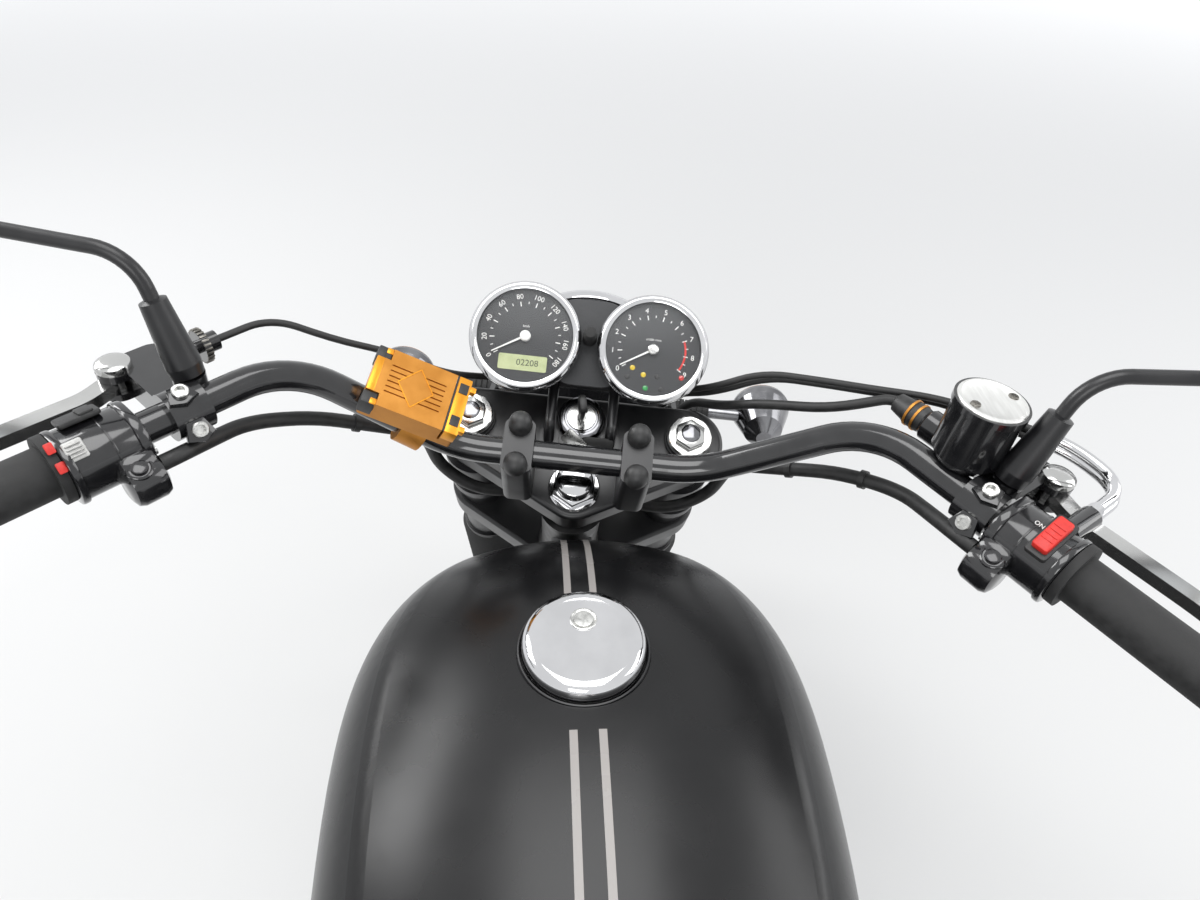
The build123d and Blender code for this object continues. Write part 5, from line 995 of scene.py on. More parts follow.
# %% Fluid pot, hose boot and adjuster
POT = on_grip_side(-1, 229.0, 16.0, 12.0)
piece("pot_lid", spun([(49.6, 0), (49.6, 23.6), (50.6, 23.6), (51.4, 22.8), (51.6, 21.0), (51.2, 20.4), (51.2, 0)],
                      POT, 72), lid_metal, "steering")
lid_screws = []
for x, y in ((-16, 5), (16, -3)):
    at = shifted(POT, x, y, 51.0)
    lid_screws.append(spun([(0, 0), (0, 3.6), (1.0, 3.3), (1.4, 2.2), (1.5, 0)], at, 24))
    lid_screws += [block((4.4, 0.7, 0.5), turned(shifted(at, 0, 0, 1.5), angle)) for angle in (20, 110)]
piece("lid_screws", lid_screws, dark_steel, "steering")
union = on_grip_side(-1, 205.2, 32.0, 6.0, (-1, 0, 0))
piece("hose_boot", spun([(66, 0), (66, 9.4), (70, 10.2), (79.4, 10.2), (82, 9), (92, 7.4), (94, 4.2), (94, 0)],
                        union, 40), engine_black, "steering")
piece("hose_bands", [spun(washer(10.0, 10.9, z, z + 1.8), union, 40) for z in (70.5, 77)], orange, "steering")
wheel = on_grip_side(1, 231.2, PIVOT_AHEAD, 0, (1, 0, 0))
piece("adjuster_knurl", [block((2.0, 1.8, 5.2), shifted(turned(wheel, 15 * n), 12.4, 0, 26.5), 0.4) for n in range(24)],
      dark_steel, "steering")

# %% [markdown]
# ## Throttle elbows and ties
# Where the throttle cables leave the right housing, two chromed elbows turn them inwards. A pipe
# bender leaves true arcs with straight runs between them, so the line of an elbow is a row of
# corners, each replaced by an arc.

# %% Lines with round corners
CORNER_SHARE = 0.45
ARC_STEPS = 8


def rounded(points):
    """A polyline whose corners are true arcs, each using a share of its shorter neighbour."""
    route = [Vector(points[0])]
    for before, here, after in zip(points, points[1:], points[2:]):
        come, leave = Vector(here) - Vector(before), Vector(after) - Vector(here)
        cut = CORNER_SHARE * min(come.length, leave.length)
        come, leave = come.normalized(), leave.normalized()
        bend = come.angle(leave)
        radius = cut / tan(bend / 2)
        start = Vector(here) - come * cut
        inward = (leave - come * leave.dot(come)).normalized()
        for n in range(ARC_STEPS + 1):
            a = bend * n / ARC_STEPS
            route.append(start + come * radius * sin(a) + inward * radius * (1 - cos(a)))
    return route + [Vector(points[-1])]


bent = rounded([(0, 0, 0), (50, 0, 0), (50, 50, 0)])
print("a line with one corner has", len(bent), "points")

# %% [markdown]
# The tube round such a line is the travelling ring again, square to the line at every point. It is
# turned as little as possible from place to place, so that the tube doesn't twist.

# %% Tubes
def sleeve(points, radius, around, place=FORK):
    """A round tube along a polyline in millimetres, square to it at every point."""
    bm = bmesh.new()
    bmesh.ops.create_circle(bm, segments=around, radius=radius, matrix=START_AT_X)
    points = [Vector(p) for p in points]
    side = (points[1] - points[0]).orthogonal().normalized()
    places = []
    for n, point in enumerate(points):
        along = (points[min(n + 1, len(points) - 1)] - points[max(n - 1, 0)]).normalized()
        side = (side - along * side.dot(along)).normalized()
        axes = Matrix((side, along.cross(side), along)).transposed().to_4x4()
        places.append(Matrix.Translation(point) @ axes)
    grown_along(bm, places)
    bmesh.ops.scale(bm, vec=(MM, MM, MM), verts=bm.verts)
    bmesh.ops.transform(bm, matrix=place, verts=bm.verts)
    return bm


trial = sleeve(bent, 5, 12)
print("a bent tube has", len(trial.faces), "faces")
trial.free()

# %% [markdown]
# The elbows lie one above the other, with a hexagon nut at each end. Plastic ties hold each loom
# to the bar; a tie is a very short tube across the loom's own line.

# %% Elbows and ties
THROTTLE_START = [(146, 42.2, 14), (146, 84, 17), (188, 84, 22), (232, 58, 25)]
TWIN_APART = Vector((0, 3.3, 3.3))
ahead_of_bar = beside_bar(-1, 0).to_3x3().col[1]
elbows = []
for twin in (1, -1):
    shift = TWIN_APART * twin
    shift = shift - ahead_of_bar * shift.dot(ahead_of_bar)
    spots = [beside_bar(-1, *p).translation / MM + shift for p in THROTTLE_START]
    line = rounded(spots)[:-1]
    elbows.append(sleeve(line, 4.1, 20))
    for end, inner in ((line[0], line[1]), (line[-1], line[-2])):
        elbows.append(sleeve([end, end + (inner - end).normalized() * 7], 5.2, 6))
piece("throttle_elbows", elbows, chrome, "steering")

LOOM = [(-40, 252, 132), (-9, 241, 98), (10, 203, 74), (22, 147, 38), (36, 132, 0), (25.5, 122, -48.5)]
TIE_SPOTS = {1: ((2, 0.5), (3, 0.1)), -1: ((1, 0.6), (2, 0.6))}
TIE_HALF = 2.4
ties = []
for side, places in TIE_SPOTS.items():
    route = [Vector((f, side * out, up)) for f, out, up in LOOM]
    for leg, share in places:
        middle = route[leg].lerp(route[leg + 1], share)
        run = (route[leg + 1] - route[leg]).normalized() * TIE_HALF
        ties.append(sleeve([middle - run, middle + run], 7.2, 20))
piece("loom_ties", ties, moulded, "steering")

# %% [markdown]
# ## Mirrors
# The mirror heads are CAD pieces, and only their glass is missing: a slightly domed disc whose
# edge sits in the head's rim.

# %% Mirror glass
MIRROR_FOOT = {1: (226.2, 14.0), -1: (196.2, 22.0)}
MIRROR_OUT = {1: 172.0, -1: 150.0}
MIRROR_R = 52.0
MIRROR = [(4.1, 0), (4.1, MIRROR_R - 3.4), (5.6, MIRROR_R - 3.6), (6.2, MIRROR_R - 12), (6.6, 20), (6.8, 0)]
glasses = []
for side in (1, -1):
    foot = beside_bar(side, *MIRROR_FOOT[side], 15).translation / MM
    centre = foot + tipped(16, side * MIRROR_OUT[side], 92)
    glasses.append(spun(MIRROR, FORK @ facing(centre, tipped(-1, 0, 0.12), tipped(0.12, 0, 1)), 72))
piece("mirror_glasses", glasses, mirror_glass, "steering")

# %% [markdown]
# ## Yoke clamps
# Black plastic domes cover the four clamp bolts. A dome could be a cylinder with a large bevel,
# but the real one narrows all the way up, so a turned profile comes closer.

# %% Clamp caps
CLAMP_CAP = [(0, 0), (0, 9.2), (1.2, 9.4), (7.0, 8.9), (10.6, 7.2), (12.9, 4.4), (13.8, 0)]
piece("clamp_caps", [spun(CLAMP_CAP, shifted(FORK, 7 + ahead, side * 46.5, 68.2), 36)
                     for side in (1, -1) for ahead in (-17, 17)], moulded, "steering")

# %% [markdown]
# ## The charger
# The little box on the bar is two tones of orange: a browner deck, brighter end bars, and black
# inserts at its corners. A diamond is raised on the deck. The box is tilted, so its deck gets a
# place of its own and all the trim is set out flat on that.

# %% Charger trim
deck_z = Vector((0.13, -0.38, 0.92)).normalized()
deck_x = Vector((0.14, 0.92, 0.36))
deck_x = (deck_x - deck_z * deck_x.dot(deck_z)).normalized()
deck = shifted(FORK, 25, 120, 111) @ Matrix((deck_x, deck_z.cross(deck_x), deck_z)).transposed().to_4x4()
bars = [block((10.2, 50.4, 12), shifted(deck, -31.0, 0, -5.6), 0.8),
        block((6.0, 30, 12), shifted(deck, 33.2, 0, -5.6), 0.8)]
for x, y in ((-38, 18), (-38, -18), (28.4, 22.6), (28.4, -22.6)):
    bars.append(block((5, 5, 5), shifted(deck, x, y, -3.0), 0.6))
piece("charger_bars", bars, bright_orange, "steering")
inserts = [block((11, 10.5, 16), shifted(deck, 31.5, y, -9), 1.2) for y in (20.2, -20.2)]
inserts += [block((7, 9, 1.0), shifted(deck, -31, y, 0.3), 0.3) for y in (14, -15)]
inserts.append(block((1.2, 50, 0.8), shifted(deck, -25, 0, -0.2)))
piece("charger_inserts", inserts, moulded, "steering")
DIAMOND = [Vector(corner) for corner in ((16.5, 0), (3, 17), (-10.5, 0), (3, -17))]
edges = []
for a, b in zip(DIAMOND, DIAMOND[1:] + DIAMOND[:1]):
    run = b - a
    middle = shifted(deck, *(a + b) / 2, 0.1) @ Matrix.Rotation(atan2(run.y, run.x), 4, "Z")
    edges.append(block((run.length, 0.8, 0.5), middle))
piece("charger_diamond", edges, bright_orange, "steering")

# %% [markdown]
# ## Tyres
# A road tyre is a lathe shape with grooves cut in it. Its section is two round walls and a round
# crown, and each of them is an arc through three points that are easy to measure on a real tyre:
# the rim's edge, the widest place, the shoulder and the top.

# %% An arc through three points
def arc_through(a, b, c, count):
    """Points on the circle through three points, from a to c."""
    (ax, ay), (bx, by), (cx, cy) = a, b, c
    d = 2 * (ax * (by - cy) + bx * (cy - ay) + cx * (ay - by))
    ux = ((ax**2 + ay**2) * (by - cy) + (bx**2 + by**2) * (cy - ay) + (cx**2 + cy**2) * (ay - by)) / d
    uy = ((ax**2 + ay**2) * (cx - bx) + (bx**2 + by**2) * (ax - cx) + (cx**2 + cy**2) * (bx - ax)) / d
    r = hypot(ax - ux, ay - uy)
    start, middle, end = (atan2(y - uy, x - ux) for x, y in (a, b, c))
    if not min(start, end) - 1e-9 <= middle <= max(start, end) + 1e-9:
        end += 2 * pi if end < start else -2 * pi
    turns = [start + (end - start) * n / count for n in range(count + 1)]
    return [(ux + r * cos(turn), uy + r * sin(turn)) for turn in turns]


print("half a circle:", [(round(x, 1), round(y, 1)) for x, y in arc_through((1, 0), (0, 1), (-1, 0), 4)])

# %% [markdown]
# The section is spun with many steps, so the tread is a grid of small faces. Two lanes and a
# slanted pattern of single faces are picked and pushed inwards, and that leaves real grooves with
# real walls, for far less work than cutting them.

# %% Tyres with a road tread
TREAD_STEPS, TREAD_LANES = 216, 14
GROOVE_DEEP = 4.0
GROOVE_EVERY = 9


def tread_tyre(name, place, outer, half, bead, rim_half, node, body):
    """A spun tyre whose tread faces are pushed in along slanted grooves."""
    low = (rim_half - 4.0, bead + 12.0)
    shoulder = (half * 0.8, outer - half * 0.3)
    wall = arc_through(low, (half, (low[1] + shoulder[1]) / 2), shoulder, 6)[:-1]
    crown = arc_through(shoulder, (0, outer), (-shoulder[0], shoulder[1]), TREAD_LANES)
    edge = (low[0], bead)
    far_wall = [(-y, r) for y, r in wall[::-1]]
    bm = spun([edge, *wall, *crown, *far_wall, (-low[0], bead), edge], BIKE, TREAD_STEPS)
    grooves = []
    for face in bm.faces:
        c = face.calc_center_median() / MM
        if hypot(c.x, c.y) < shoulder[1] or abs(c.z) > shoulder[0]:
            continue
        lane = round((c.z + shoulder[0]) / (2 * shoulder[0]) * TREAD_LANES - 0.5)
        spoke = round((atan2(c.y, c.x) + pi) / (2 * pi) * TREAD_STEPS - 0.5)
        slant = abs(lane - (TREAD_LANES - 1) / 2)
        ring_groove = lane in (TREAD_LANES // 2 - 3, TREAD_LANES // 2 + 2)
        if ring_groove or (slant > 2.5 and (spoke + int(slant * 2)) % GROOVE_EVERY == 0):
            grooves.append(face)
    pushed = bmesh.ops.extrude_face_region(bm, geom=grooves)
    for vert in pushed["geom"]:
        if isinstance(vert, bmesh.types.BMVert):
            inwards = 1 - GROOVE_DEEP * MM / hypot(vert.co.x, vert.co.y)
            vert.co.xy = vert.co.xy * inwards
    bmesh.ops.transform(bm, matrix=place, verts=bm.verts)
    piece(name, bm, tyre_rubber, body, stands_for=(node,), crease=30)


AXLE_U = -694.2
REAR_AXLE = (-730.0, 0.0, 347.5)
front_axle = FORK @ facing((FORK_OFFSET, 0, AXLE_U), (0, 1, 0))
rear_axle = facing(REAR_AXLE, (0, 1, 0))
tread_tyre("front_tread", front_axle, 331.0, 50.0, 243.0, 34.0, "front_tyre", "front_wheel")
tread_tyre("rear_tread", rear_axle, 332.5, 65.0, 230.0, 46.0, "rear_tyre", "rear_wheel")

# %% [markdown]
# ## Spoke nipples
# Thirty six little plated nipples per wheel are what tells a laced wheel from a cast one. They are
# repeated so often that a plain cone of eight sides is enough.

# %% Nipples
NIPPLES_A_SIDE = 18


def nipples(name, place, rim_r, rim_y, lean, body):
    """A tapered nipple at each spoke's outer end, pointing at the hub."""
    made = bmesh.new()
    for side in (1, -1):
        for n in range(NIPPLES_A_SIDE):
            a = radians(360 / NIPPLES_A_SIDE * n + side * (5 + lean))
            at = place @ facing((-rim_r * cos(a), rim_r * sin(a), side * rim_y), (cos(a), -sin(a), side * 0.1))
            bmesh.ops.create_cone(made, cap_ends=True, segments=8, radius1=3.4 * MM, radius2=2.4 * MM, depth=11 * MM,
                                  matrix=shifted(at, 0, 0, 5))
    piece(name, made, zinc, body)


nipples("front_nipples", front_axle, 228.0, 8.0, 32, "front_wheel")
nipples("rear_nipples", rear_axle, 215.0, 9.0, 22, "rear_wheel")

# %% [markdown]
# ## Springs
# A coil spring is a round wire that climbs while it turns. The spin operator does both at once: it
# takes a small step along the axis with every step round it.

# %% Coil springs on the rear shocks
SHOCK_Y = 142.0
SHOCK_LOW, SHOCK_TOP = Vector((-672.0, 0, 388.0)), Vector((-640.0, 0, 742.0))
COILS, COIL_STEPS = 11, 24
COIL_R, WIRE_R = 30.0, 4.2
SPRING_STARTS = 62


def coil(place, pitch):
    """A round wire spun about Z while it climbs."""
    bm = bmesh.new()
    bmesh.ops.create_circle(bm, segments=10, radius=WIRE_R * MM,
                            matrix=shifted(BIKE, COIL_R, 0, 0) @ Matrix.Rotation(pi / 2, 4, "X"))
    bmesh.ops.spin(bm, geom=bm.verts[:] + bm.edges[:], cent=(0, 0, 0), axis=(0, 0, 1), angle=2 * pi * COILS,
                   steps=COILS * COIL_STEPS, dvec=spot(0, 0, pitch / COIL_STEPS))
    bmesh.ops.holes_fill(bm, edges=[e for e in bm.edges if e.is_boundary], sides=0)
    bmesh.ops.recalc_face_normals(bm, faces=bm.faces)
    bmesh.ops.transform(bm, matrix=place, verts=bm.verts)
    return bm


shock_run = SHOCK_TOP - SHOCK_LOW
coils, seats = [], []
for side in (1, -1):
    base = facing(SHOCK_LOW + Vector((0, side * SHOCK_Y, 0)), shock_run, (0, side, 0))
    coils.append(coil(shifted(base, 0, 0, SPRING_STARTS), (shock_run.length - 2 * SPRING_STARTS) / COILS))
    seats.append(spun([(53, 21.5), (53, 34), (57.6, 35), (57.6, 21.5), (53, 21.5)], base, 48))
piece("coil_springs", coils, chrome, "root", stands_for=("shock_springs",))
piece("spring_seats", seats, gloss_black, "root")

# %% [markdown]
# ## The seat
# The real seat is foam under vinyl. A stiff block with rounded corners would give it away, so the
# pad is inflated: a rough block is voxel remeshed, Blender's cloth pushes it out with a little
# pressure, and how far each point may move is capped. The sewn channels come after that, pressed in
# where the thread pulls the cover down.

# %% Rough pad
SEAT_HALF, SEAT_BASE = 108.0, 765.6
SEAT_SIDE = [
    (-186, SEAT_BASE), (-184, 803), (-236, 791), (-350, 790), (-470, 791), (-552, 806), (-596, 841), (-640, 846),
    (-684, 841), (-720, 800), (-722, SEAT_BASE),
]
RIM_RADIUS = 13
FRONT_NARROW = 0.86
NARROW_FROM, NARROW_OVER = -330, 145
bm = bmesh.new()
raised(bm, bm.faces.new([bm.verts.new(spot(x, -SEAT_HALF, z)) for x, z in SEAT_SIDE]), 0, 2 * SEAT_HALF, 0)
above_base = (SEAT_BASE + 5) * MM
rims = [e for e in bm.edges if abs(e.verts[0].co.y - e.verts[1].co.y) < TOUCHING
        and min(v.co.z for v in e.verts) > above_base]
eased(bm, rims, RIM_RADIUS, 4)
for vert in bm.verts:
    share = min(1.0, max(0.0, (vert.co.x / MM - NARROW_FROM) / NARROW_OVER))
    vert.co.y *= 1 - (1 - FRONT_NARROW) * share * share * (3 - 2 * share)
rough = bpy.data.meshes.new("seat_rough")
bm.to_mesh(rough)
bm.free()
pad = bpy.data.objects.new("seat_pad", rough)
scene.collection.objects.link(pad)
print("rough pad faces", len(rough.polygons))

# %% [markdown]
# Cloth can only bend where it has points, and the rough block has a few large faces. A voxel
# remesh covers it with an even grid of small ones, whatever its shape.

# %% Voxel remesh
VOXEL = 0.006


def baked(obj):
    """Turns an object's modifiers into its mesh."""
    graph = bpy.context.evaluated_depsgraph_get()
    mesh = bpy.data.meshes.new_from_object(obj.evaluated_get(graph))
    obj.modifiers.clear()
    obj.data = mesh


remesh = pad.modifiers.new("remesh", "REMESH")
remesh.mode = "VOXEL"
remesh.voxel_size = VOXEL
baked(pad)
flat = [v.co.copy() for v in pad.data.vertices]
print("points", len(flat))

# %% [markdown]
# The pad's flat base is held, as it is by the seat's pan, and gravity is off, because foam holds
# its own weight.

# %% Inflate it
PRESSURE = 4.0
FRAMES = 20
HELD_HEIGHT = 9
held = pad.vertex_groups.new(name="held")
held.add([v.index for v in pad.data.vertices if v.co.z < (SEAT_BASE + HELD_HEIGHT) * MM], 1.0, "REPLACE")
cloth = pad.modifiers.new("cloth", "CLOTH")
cloth.settings.use_pressure = True
cloth.settings.uniform_pressure_force = PRESSURE
cloth.settings.effector_weights.gravity = 0
cloth.settings.vertex_group_mass = "held"
cloth.settings.quality = 4
cloth.collision_settings.use_collision = False
for frame_number in range(1, FRAMES + 1):
    scene.frame_set(frame_number)
baked(pad)
scene.frame_set(1)
print("widest", round(2 * max(v.co.y for v in pad.data.vertices) / MM, 1), "mm")

# %% [markdown]
# Pressure alone would make a balloon of it. A real cover is cut to shape and gives only a little,
# so no point may end up further than this from where it was.

# %% Cap the swell
MOST_SWELL = 0.007
swell = 0.0
for vert, was in zip(pad.data.vertices, flat):
    moved = vert.co - was
    if moved.length > MOST_SWELL:
        vert.co = was + moved.normalized() * MOST_SWELL
    swell = max(swell, (vert.co - was).length)
print("most swell", round(swell / MM, 2), "mm")

# %% [markdown]
# The channels run across the flat part, about three centimetres apart. A channel is a soft valley
# with a sharp bottom, full depth on top and fading down the sides. One level of subdivision first
# gives it enough points to be drawn with.

# %% Sewn channels
CHANNELS = [-262 - 31 * n for n in range(10)]
CHANNEL_DEPTH, CHANNEL_HALF = 4.2, 5.5
CHANNEL_LOWEST = SEAT_BASE + 12
finer = pad.modifiers.new("finer", "SUBSURF")
finer.levels = finer.render_levels = 1
baked(pad)
for vert in pad.data.vertices:
    x, y, z = vert.co / MM
    if z < CHANNEL_LOWEST:
        continue
    near = min(abs(x - c) for c in CHANNELS)
    fade = min(1.0, (z - CHANNEL_LOWEST) / 12) * min(1.0, max(0.0, (SEAT_HALF - 4 - abs(y)) / 14))
    vert.co.z -= CHANNEL_DEPTH * max(0.0, 1 - near / CHANNEL_HALF) ** 2 * fade * MM
pad.data.polygons.foreach_set("use_smooth", [True] * len(pad.data.polygons))
pad.data.materials.clear()
pad.data.materials.append(leather)
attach(pad, "root")
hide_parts("seat")
print("seat faces", len(pad.data.polygons), "top", round(max(v.co.z for v in pad.data.vertices), 3))

# %% [markdown]
# ## The headlamp
# A chromed rim holds a domed glass in front of a silvered bowl with a bulb in it. The lamp hangs
# level from the fork, so its place is written in LEVEL.

# %% Headlamp
LAMP_AHEAD, LAMP_ABOVE, LAMP_R = 262.0, -62.0, 88.0
lamp = LEVEL @ facing((LAMP_AHEAD, 0, LAMP_ABOVE), (1, 0, 0))
piece("lamp_rim", spun([
    (0.2, LAMP_R - 6), (0.2, LAMP_R), (3, LAMP_R + 1.6), (7, LAMP_R + 2), (13, LAMP_R + 0.6), (18, LAMP_R - 4),
    (20, LAMP_R - 9), (17, LAMP_R - 10), (2, LAMP_R - 8), (0.2, LAMP_R - 6)], lamp, 96),
    chrome, "steering", stands_for=("headlamp_lens",))
piece("lamp_bowl", spun([(14, LAMP_R - 10), (8, 60), (2.5, 36), (1, 14), (1, 0)], lamp, 72), mirror_glass, "steering")
piece("lamp_bulb", spun([(1, 0), (1, 9), (12, 9), (15, 7), (15, 5.5), (20, 5), (23, 3), (24, 0)], lamp, 32),
      glass, "steering")
piece("lamp_glass", spun([
    (17.6, LAMP_R - 9.4), (22, LAMP_R - 20), (27, LAMP_R - 42), (30, 22), (31, 0), (29, 0), (28, 22),
    (25, LAMP_R - 42), (20, LAMP_R - 20), (15.8, LAMP_R - 9.4), (17.6, LAMP_R - 9.4)], lamp, 72), glass, "steering")

# %% [markdown]
# ## Indicators and tail lamp
# The lenses are separate caps on the smoked metal bodies, all four alike. Each front stem goes
# into a ribbed rubber boot, which lets it give way when it is knocked.

# %% Lenses and boots
def boot(place, ribs, outer, inner, steps):
    """A rubber boot whose ribs get a little smaller outwards."""
    profile = [(0.2, 0)]
    for n in range(ribs):
        profile += [(0.2 + n * 6, outer - n * 0.4), (4.2 + n * 6, outer - 0.2 - n * 0.4), (4.6 + n * 6, inner),
                    (6.0 + n * 6, inner)]
    return spun([*profile, (ribs * 6 + 1, 7), (ribs * 6 + 1, 0)], place, steps)


INDICATOR_LENS = [(17, 30.2), (20, 29), (26, 20), (29.4, 8), (30, 0)]
TAIL_INDICATOR = (-1004, 100.3, 668)
front_lenses, rear_lenses, boots = [], [], []
for side in (1, -1):
    tip = LEVEL @ facing((LAMP_AHEAD - 60, side * (95.7 + 95), LAMP_ABOVE), (1, 0, 0))
    front_lenses.append(spun(INDICATOR_LENS, tip, 40))
    boots.append(boot(LEVEL @ facing((LAMP_AHEAD - 60, side * 96.2, LAMP_ABOVE), (0, side, 0)), 6, 11.5, 8.8, 32))
    x, y, z = TAIL_INDICATOR
    rear_lenses.append(spun(INDICATOR_LENS, facing((x, side * y, z), (-1, 0, 0)), 40))
piece("front_indicator_lenses", front_lenses, amber, "steering")
piece("indicator_boots", boots, grip_rubber, "steering")
piece("rear_indicator_lenses", rear_lenses, amber, "root")
tail = facing((-1028, 0, 658), (-1, 0, 0))
piece("tail_lens", spun([(12, 41), (14.5, 42.4), (16, 41.4), (24.6, 36.4), (30.6, 24), (32.6, 0)], tail), red_lens,
      "root")
piece("tail_ring", spun([(-1.8, 42.2), (-1.8, 44), (10, 44.4), (13, 43.4), (13, 42.2), (-1.8, 42.2)], tail), chrome,
      "root")

# %% [markdown]
# ## The chain
# A chain loop is two arcs round the sprockets and two straight runs that touch both. One function
# gives the point and the heading at any distance along it, so the links can then be set down at
# even steps, as they lie on the real thing.

# %% The chain's loop
CHAIN_PITCH, CHAIN_Y = 15.875, 91.0
REAR_TEETH, FRONT_TEETH = 37, 15
FRONT_SPROCKET = (-150.0, 372.0)
rear_r, front_r = (CHAIN_PITCH / 2 / sin(pi / teeth) for teeth in (REAR_TEETH, FRONT_TEETH))
ahead, above = FRONT_SPROCKET[0] - REAR_AXLE[0], FRONT_SPROCKET[1] - REAR_AXLE[2]
run = (hypot(ahead, above) ** 2 - (rear_r - front_r) ** 2) ** 0.5
lean = atan2(rear_r - front_r, run)
top, low = atan2(above, ahead) + pi / 2 + lean, atan2(above, ahead) - pi / 2 - lean
rear, front = (REAR_AXLE[0], REAR_AXLE[2], rear_r), (*FRONT_SPROCKET, front_r)
LEGS = [
    # length, sprocket, the angle on it where the leg starts, whether the chain lies on its teeth
    (run, rear, top, False), ((pi - 2 * lean) * front_r, front, top, True),
    (run, front, low, False), ((pi + 2 * lean) * rear_r, rear, low, True),
]
loop = sum(leg[0] for leg in LEGS)
LINKS = 2 * round(loop / CHAIN_PITCH / 2)


def along_loop(s):
    """The point and heading at a distance along the loop, starting at the top of the rear sprocket."""
    for length, (x, z, radius), angle, on_teeth in LEGS:
        if s < length:
            break
        s -= length
    if on_teeth:
        angle, s = angle - s / radius, 0.0
    heading = angle - pi / 2
    return x + radius * cos(angle) + s * cos(heading), z + radius * sin(angle) + s * sin(heading), heading


print("links", LINKS, "loop", round(loop), "mm")

# %% [markdown]
# One link is two waisted plates and a roller on its pin. A pair of inner plates follows a pair of
# outer ones round the loop. The plate's outline looks the same when it is turned round, so half of
# it is enough. The CAD loop is one solid ring, and the links stand in for it.

# %% Chain links
HALF_WAIST = [(-3.2, -3.0), (3.2, -3.0), (5.6, -4.1), (8.0, -4.3), (10.6, -3.2), (12.1, 0), (10.6, 3.2), (8.0, 4.3),
              (5.6, 4.1)]
WAIST = HALF_WAIST + [(-x, -y) for x, y in HALF_WAIST]
PLATE_THICK = 1.5
INNER_FACE, OUTER_FACE = 4.0, 5.8
chain = bmesh.new()
for n in range(LINKS):
    x, z, a = along_loop(loop * (n + 0.5) / LINKS)
    middle = facing((x, CHAIN_Y, z), (0, -1, 0), (-sin(a), 0, cos(a)))
    reach = OUTER_FACE if n % 2 else INNER_FACE
    for base in (reach - PLATE_THICK, -reach):
        merged(chain, prism(WAIST, shifted(middle, 0, 0, base), PLATE_THICK))
    x, z, a = along_loop(loop * n / LINKS)
    for sides, radius, length in ((10, 4.6, 6.2), (8, 2.2, 13.6)):
        bmesh.ops.create_cone(chain, cap_ends=True, segments=sides, radius1=radius * MM, radius2=radius * MM,
                              depth=length * MM, matrix=facing((x, CHAIN_Y, z), (0, 1, 0)))
piece("chain_links", chain, dark_steel, "root", stands_for=("drive_chain",), crease=25)

# %% [markdown]
# ## Engine fins
# A black engine looks like a lump until its edges catch the light. So each of the fins gets the
# bright rim that a cutter leaves when a painted fin is machined: a thin plate that is a third of a
# millimetre larger than the fin all round.

# %% Fin edges
CRANK_X, CASE_TOP, CYLINDER_TOP = 60.0, 470.0, 625.0
BARREL_FINS, HEAD_FINS, HEAD_PITCH = 9, 4, 17
BARREL_PITCH = (CYLINDER_TOP - CASE_TOP - 18) / (BARREL_FINS - 1)
RIM_THICK = 1.8
barrel, head = round_outline(188.7, 250.7, 44.3, 10), round_outline(186.7, 242.7, 44.3, 10)
rims = [(barrel, CASE_TOP + 8.6 + n * BARREL_PITCH) for n in range(BARREL_FINS)]
rims += [(head, CYLINDER_TOP + 4.6 + n * HEAD_PITCH) for n in range(HEAD_FINS)]
piece("fin_edges", [prism(outline, shifted(BIKE, CRANK_X - 5, 0, z), RIM_THICK) for outline, z in rims],
      polished, "root")

# %% [markdown]
# ## Engine covers
# The polished side covers are held by rings of cap screws, and each side has one large round cap.
# An oil filler with a bar to grip it by sits above the right one. Most of what follows sits on one
# side of the bike or the other with its axis pointing straight out, so `outboard` gives such a
# place.

# %% Covers and seam
COVER_FACE = 124.0
COVER_SCREWS = [
    # side, centre x and z, radius of the screw ring, angles
    (1, 110, 345, 69, (-100, -50, 0, 50, 95)),
    (1, -128, 372, 47, (95, 150, 205, 260)),
    (-1, 108, 340, 59, (-75, -30, 15, 60)),
    (-1, -62, 345, 77, (95, 140, 180, 220, 265)),
]


def outboard(side, x, y, z):
    """A place on one side of the bike, its Z pointing straight out."""
    return facing((x, side * y, z), (0, side, 0))


screws, rings = [], []
for side, x, z, ring_r, angles in COVER_SCREWS:
    for a in map(radians, angles):
        screws.append(bolt_head(outboard(side, x + ring_r * cos(a), COVER_FACE - 0.4, z + ring_r * sin(a)), 4.4, 3.2))
for side, x, z, r in ((1, 110, 345, 46), (-1, 108, 340, 36)):
    rings.append(spun([(0, 0), (0, r), (1.6, r), (3.2, r - 2), (3.8, r - 6), (3.2, r - 9), (2.8, r - 10), (3.6, 12),
                       (4.2, 0)], outboard(side, x, COVER_FACE - 0.5, z), 72))
filler = outboard(-1, 70, COVER_FACE - 0.5, 392)
rings.append(spun([(0, 0), (0, 13), (5, 13), (7, 11.5), (7.4, 0)], filler, 36))
rings.append(block((20, 4.5, 5), shifted(filler, 0, 0, 8), 1.2))
piece("cover_screws", screws, zinc, "root")
piece("cover_caps", rings, polished, "root")
piece("case_seam", block((352, 191.2, 3.2), shifted(BIKE, 14, 0, 352), 0.8), engine_black, "root")

# %% [markdown]
# A rubber cap sits on each plug, and its lead goes up and inwards, under the tank. A lead is a
# tube like the throttle elbows.

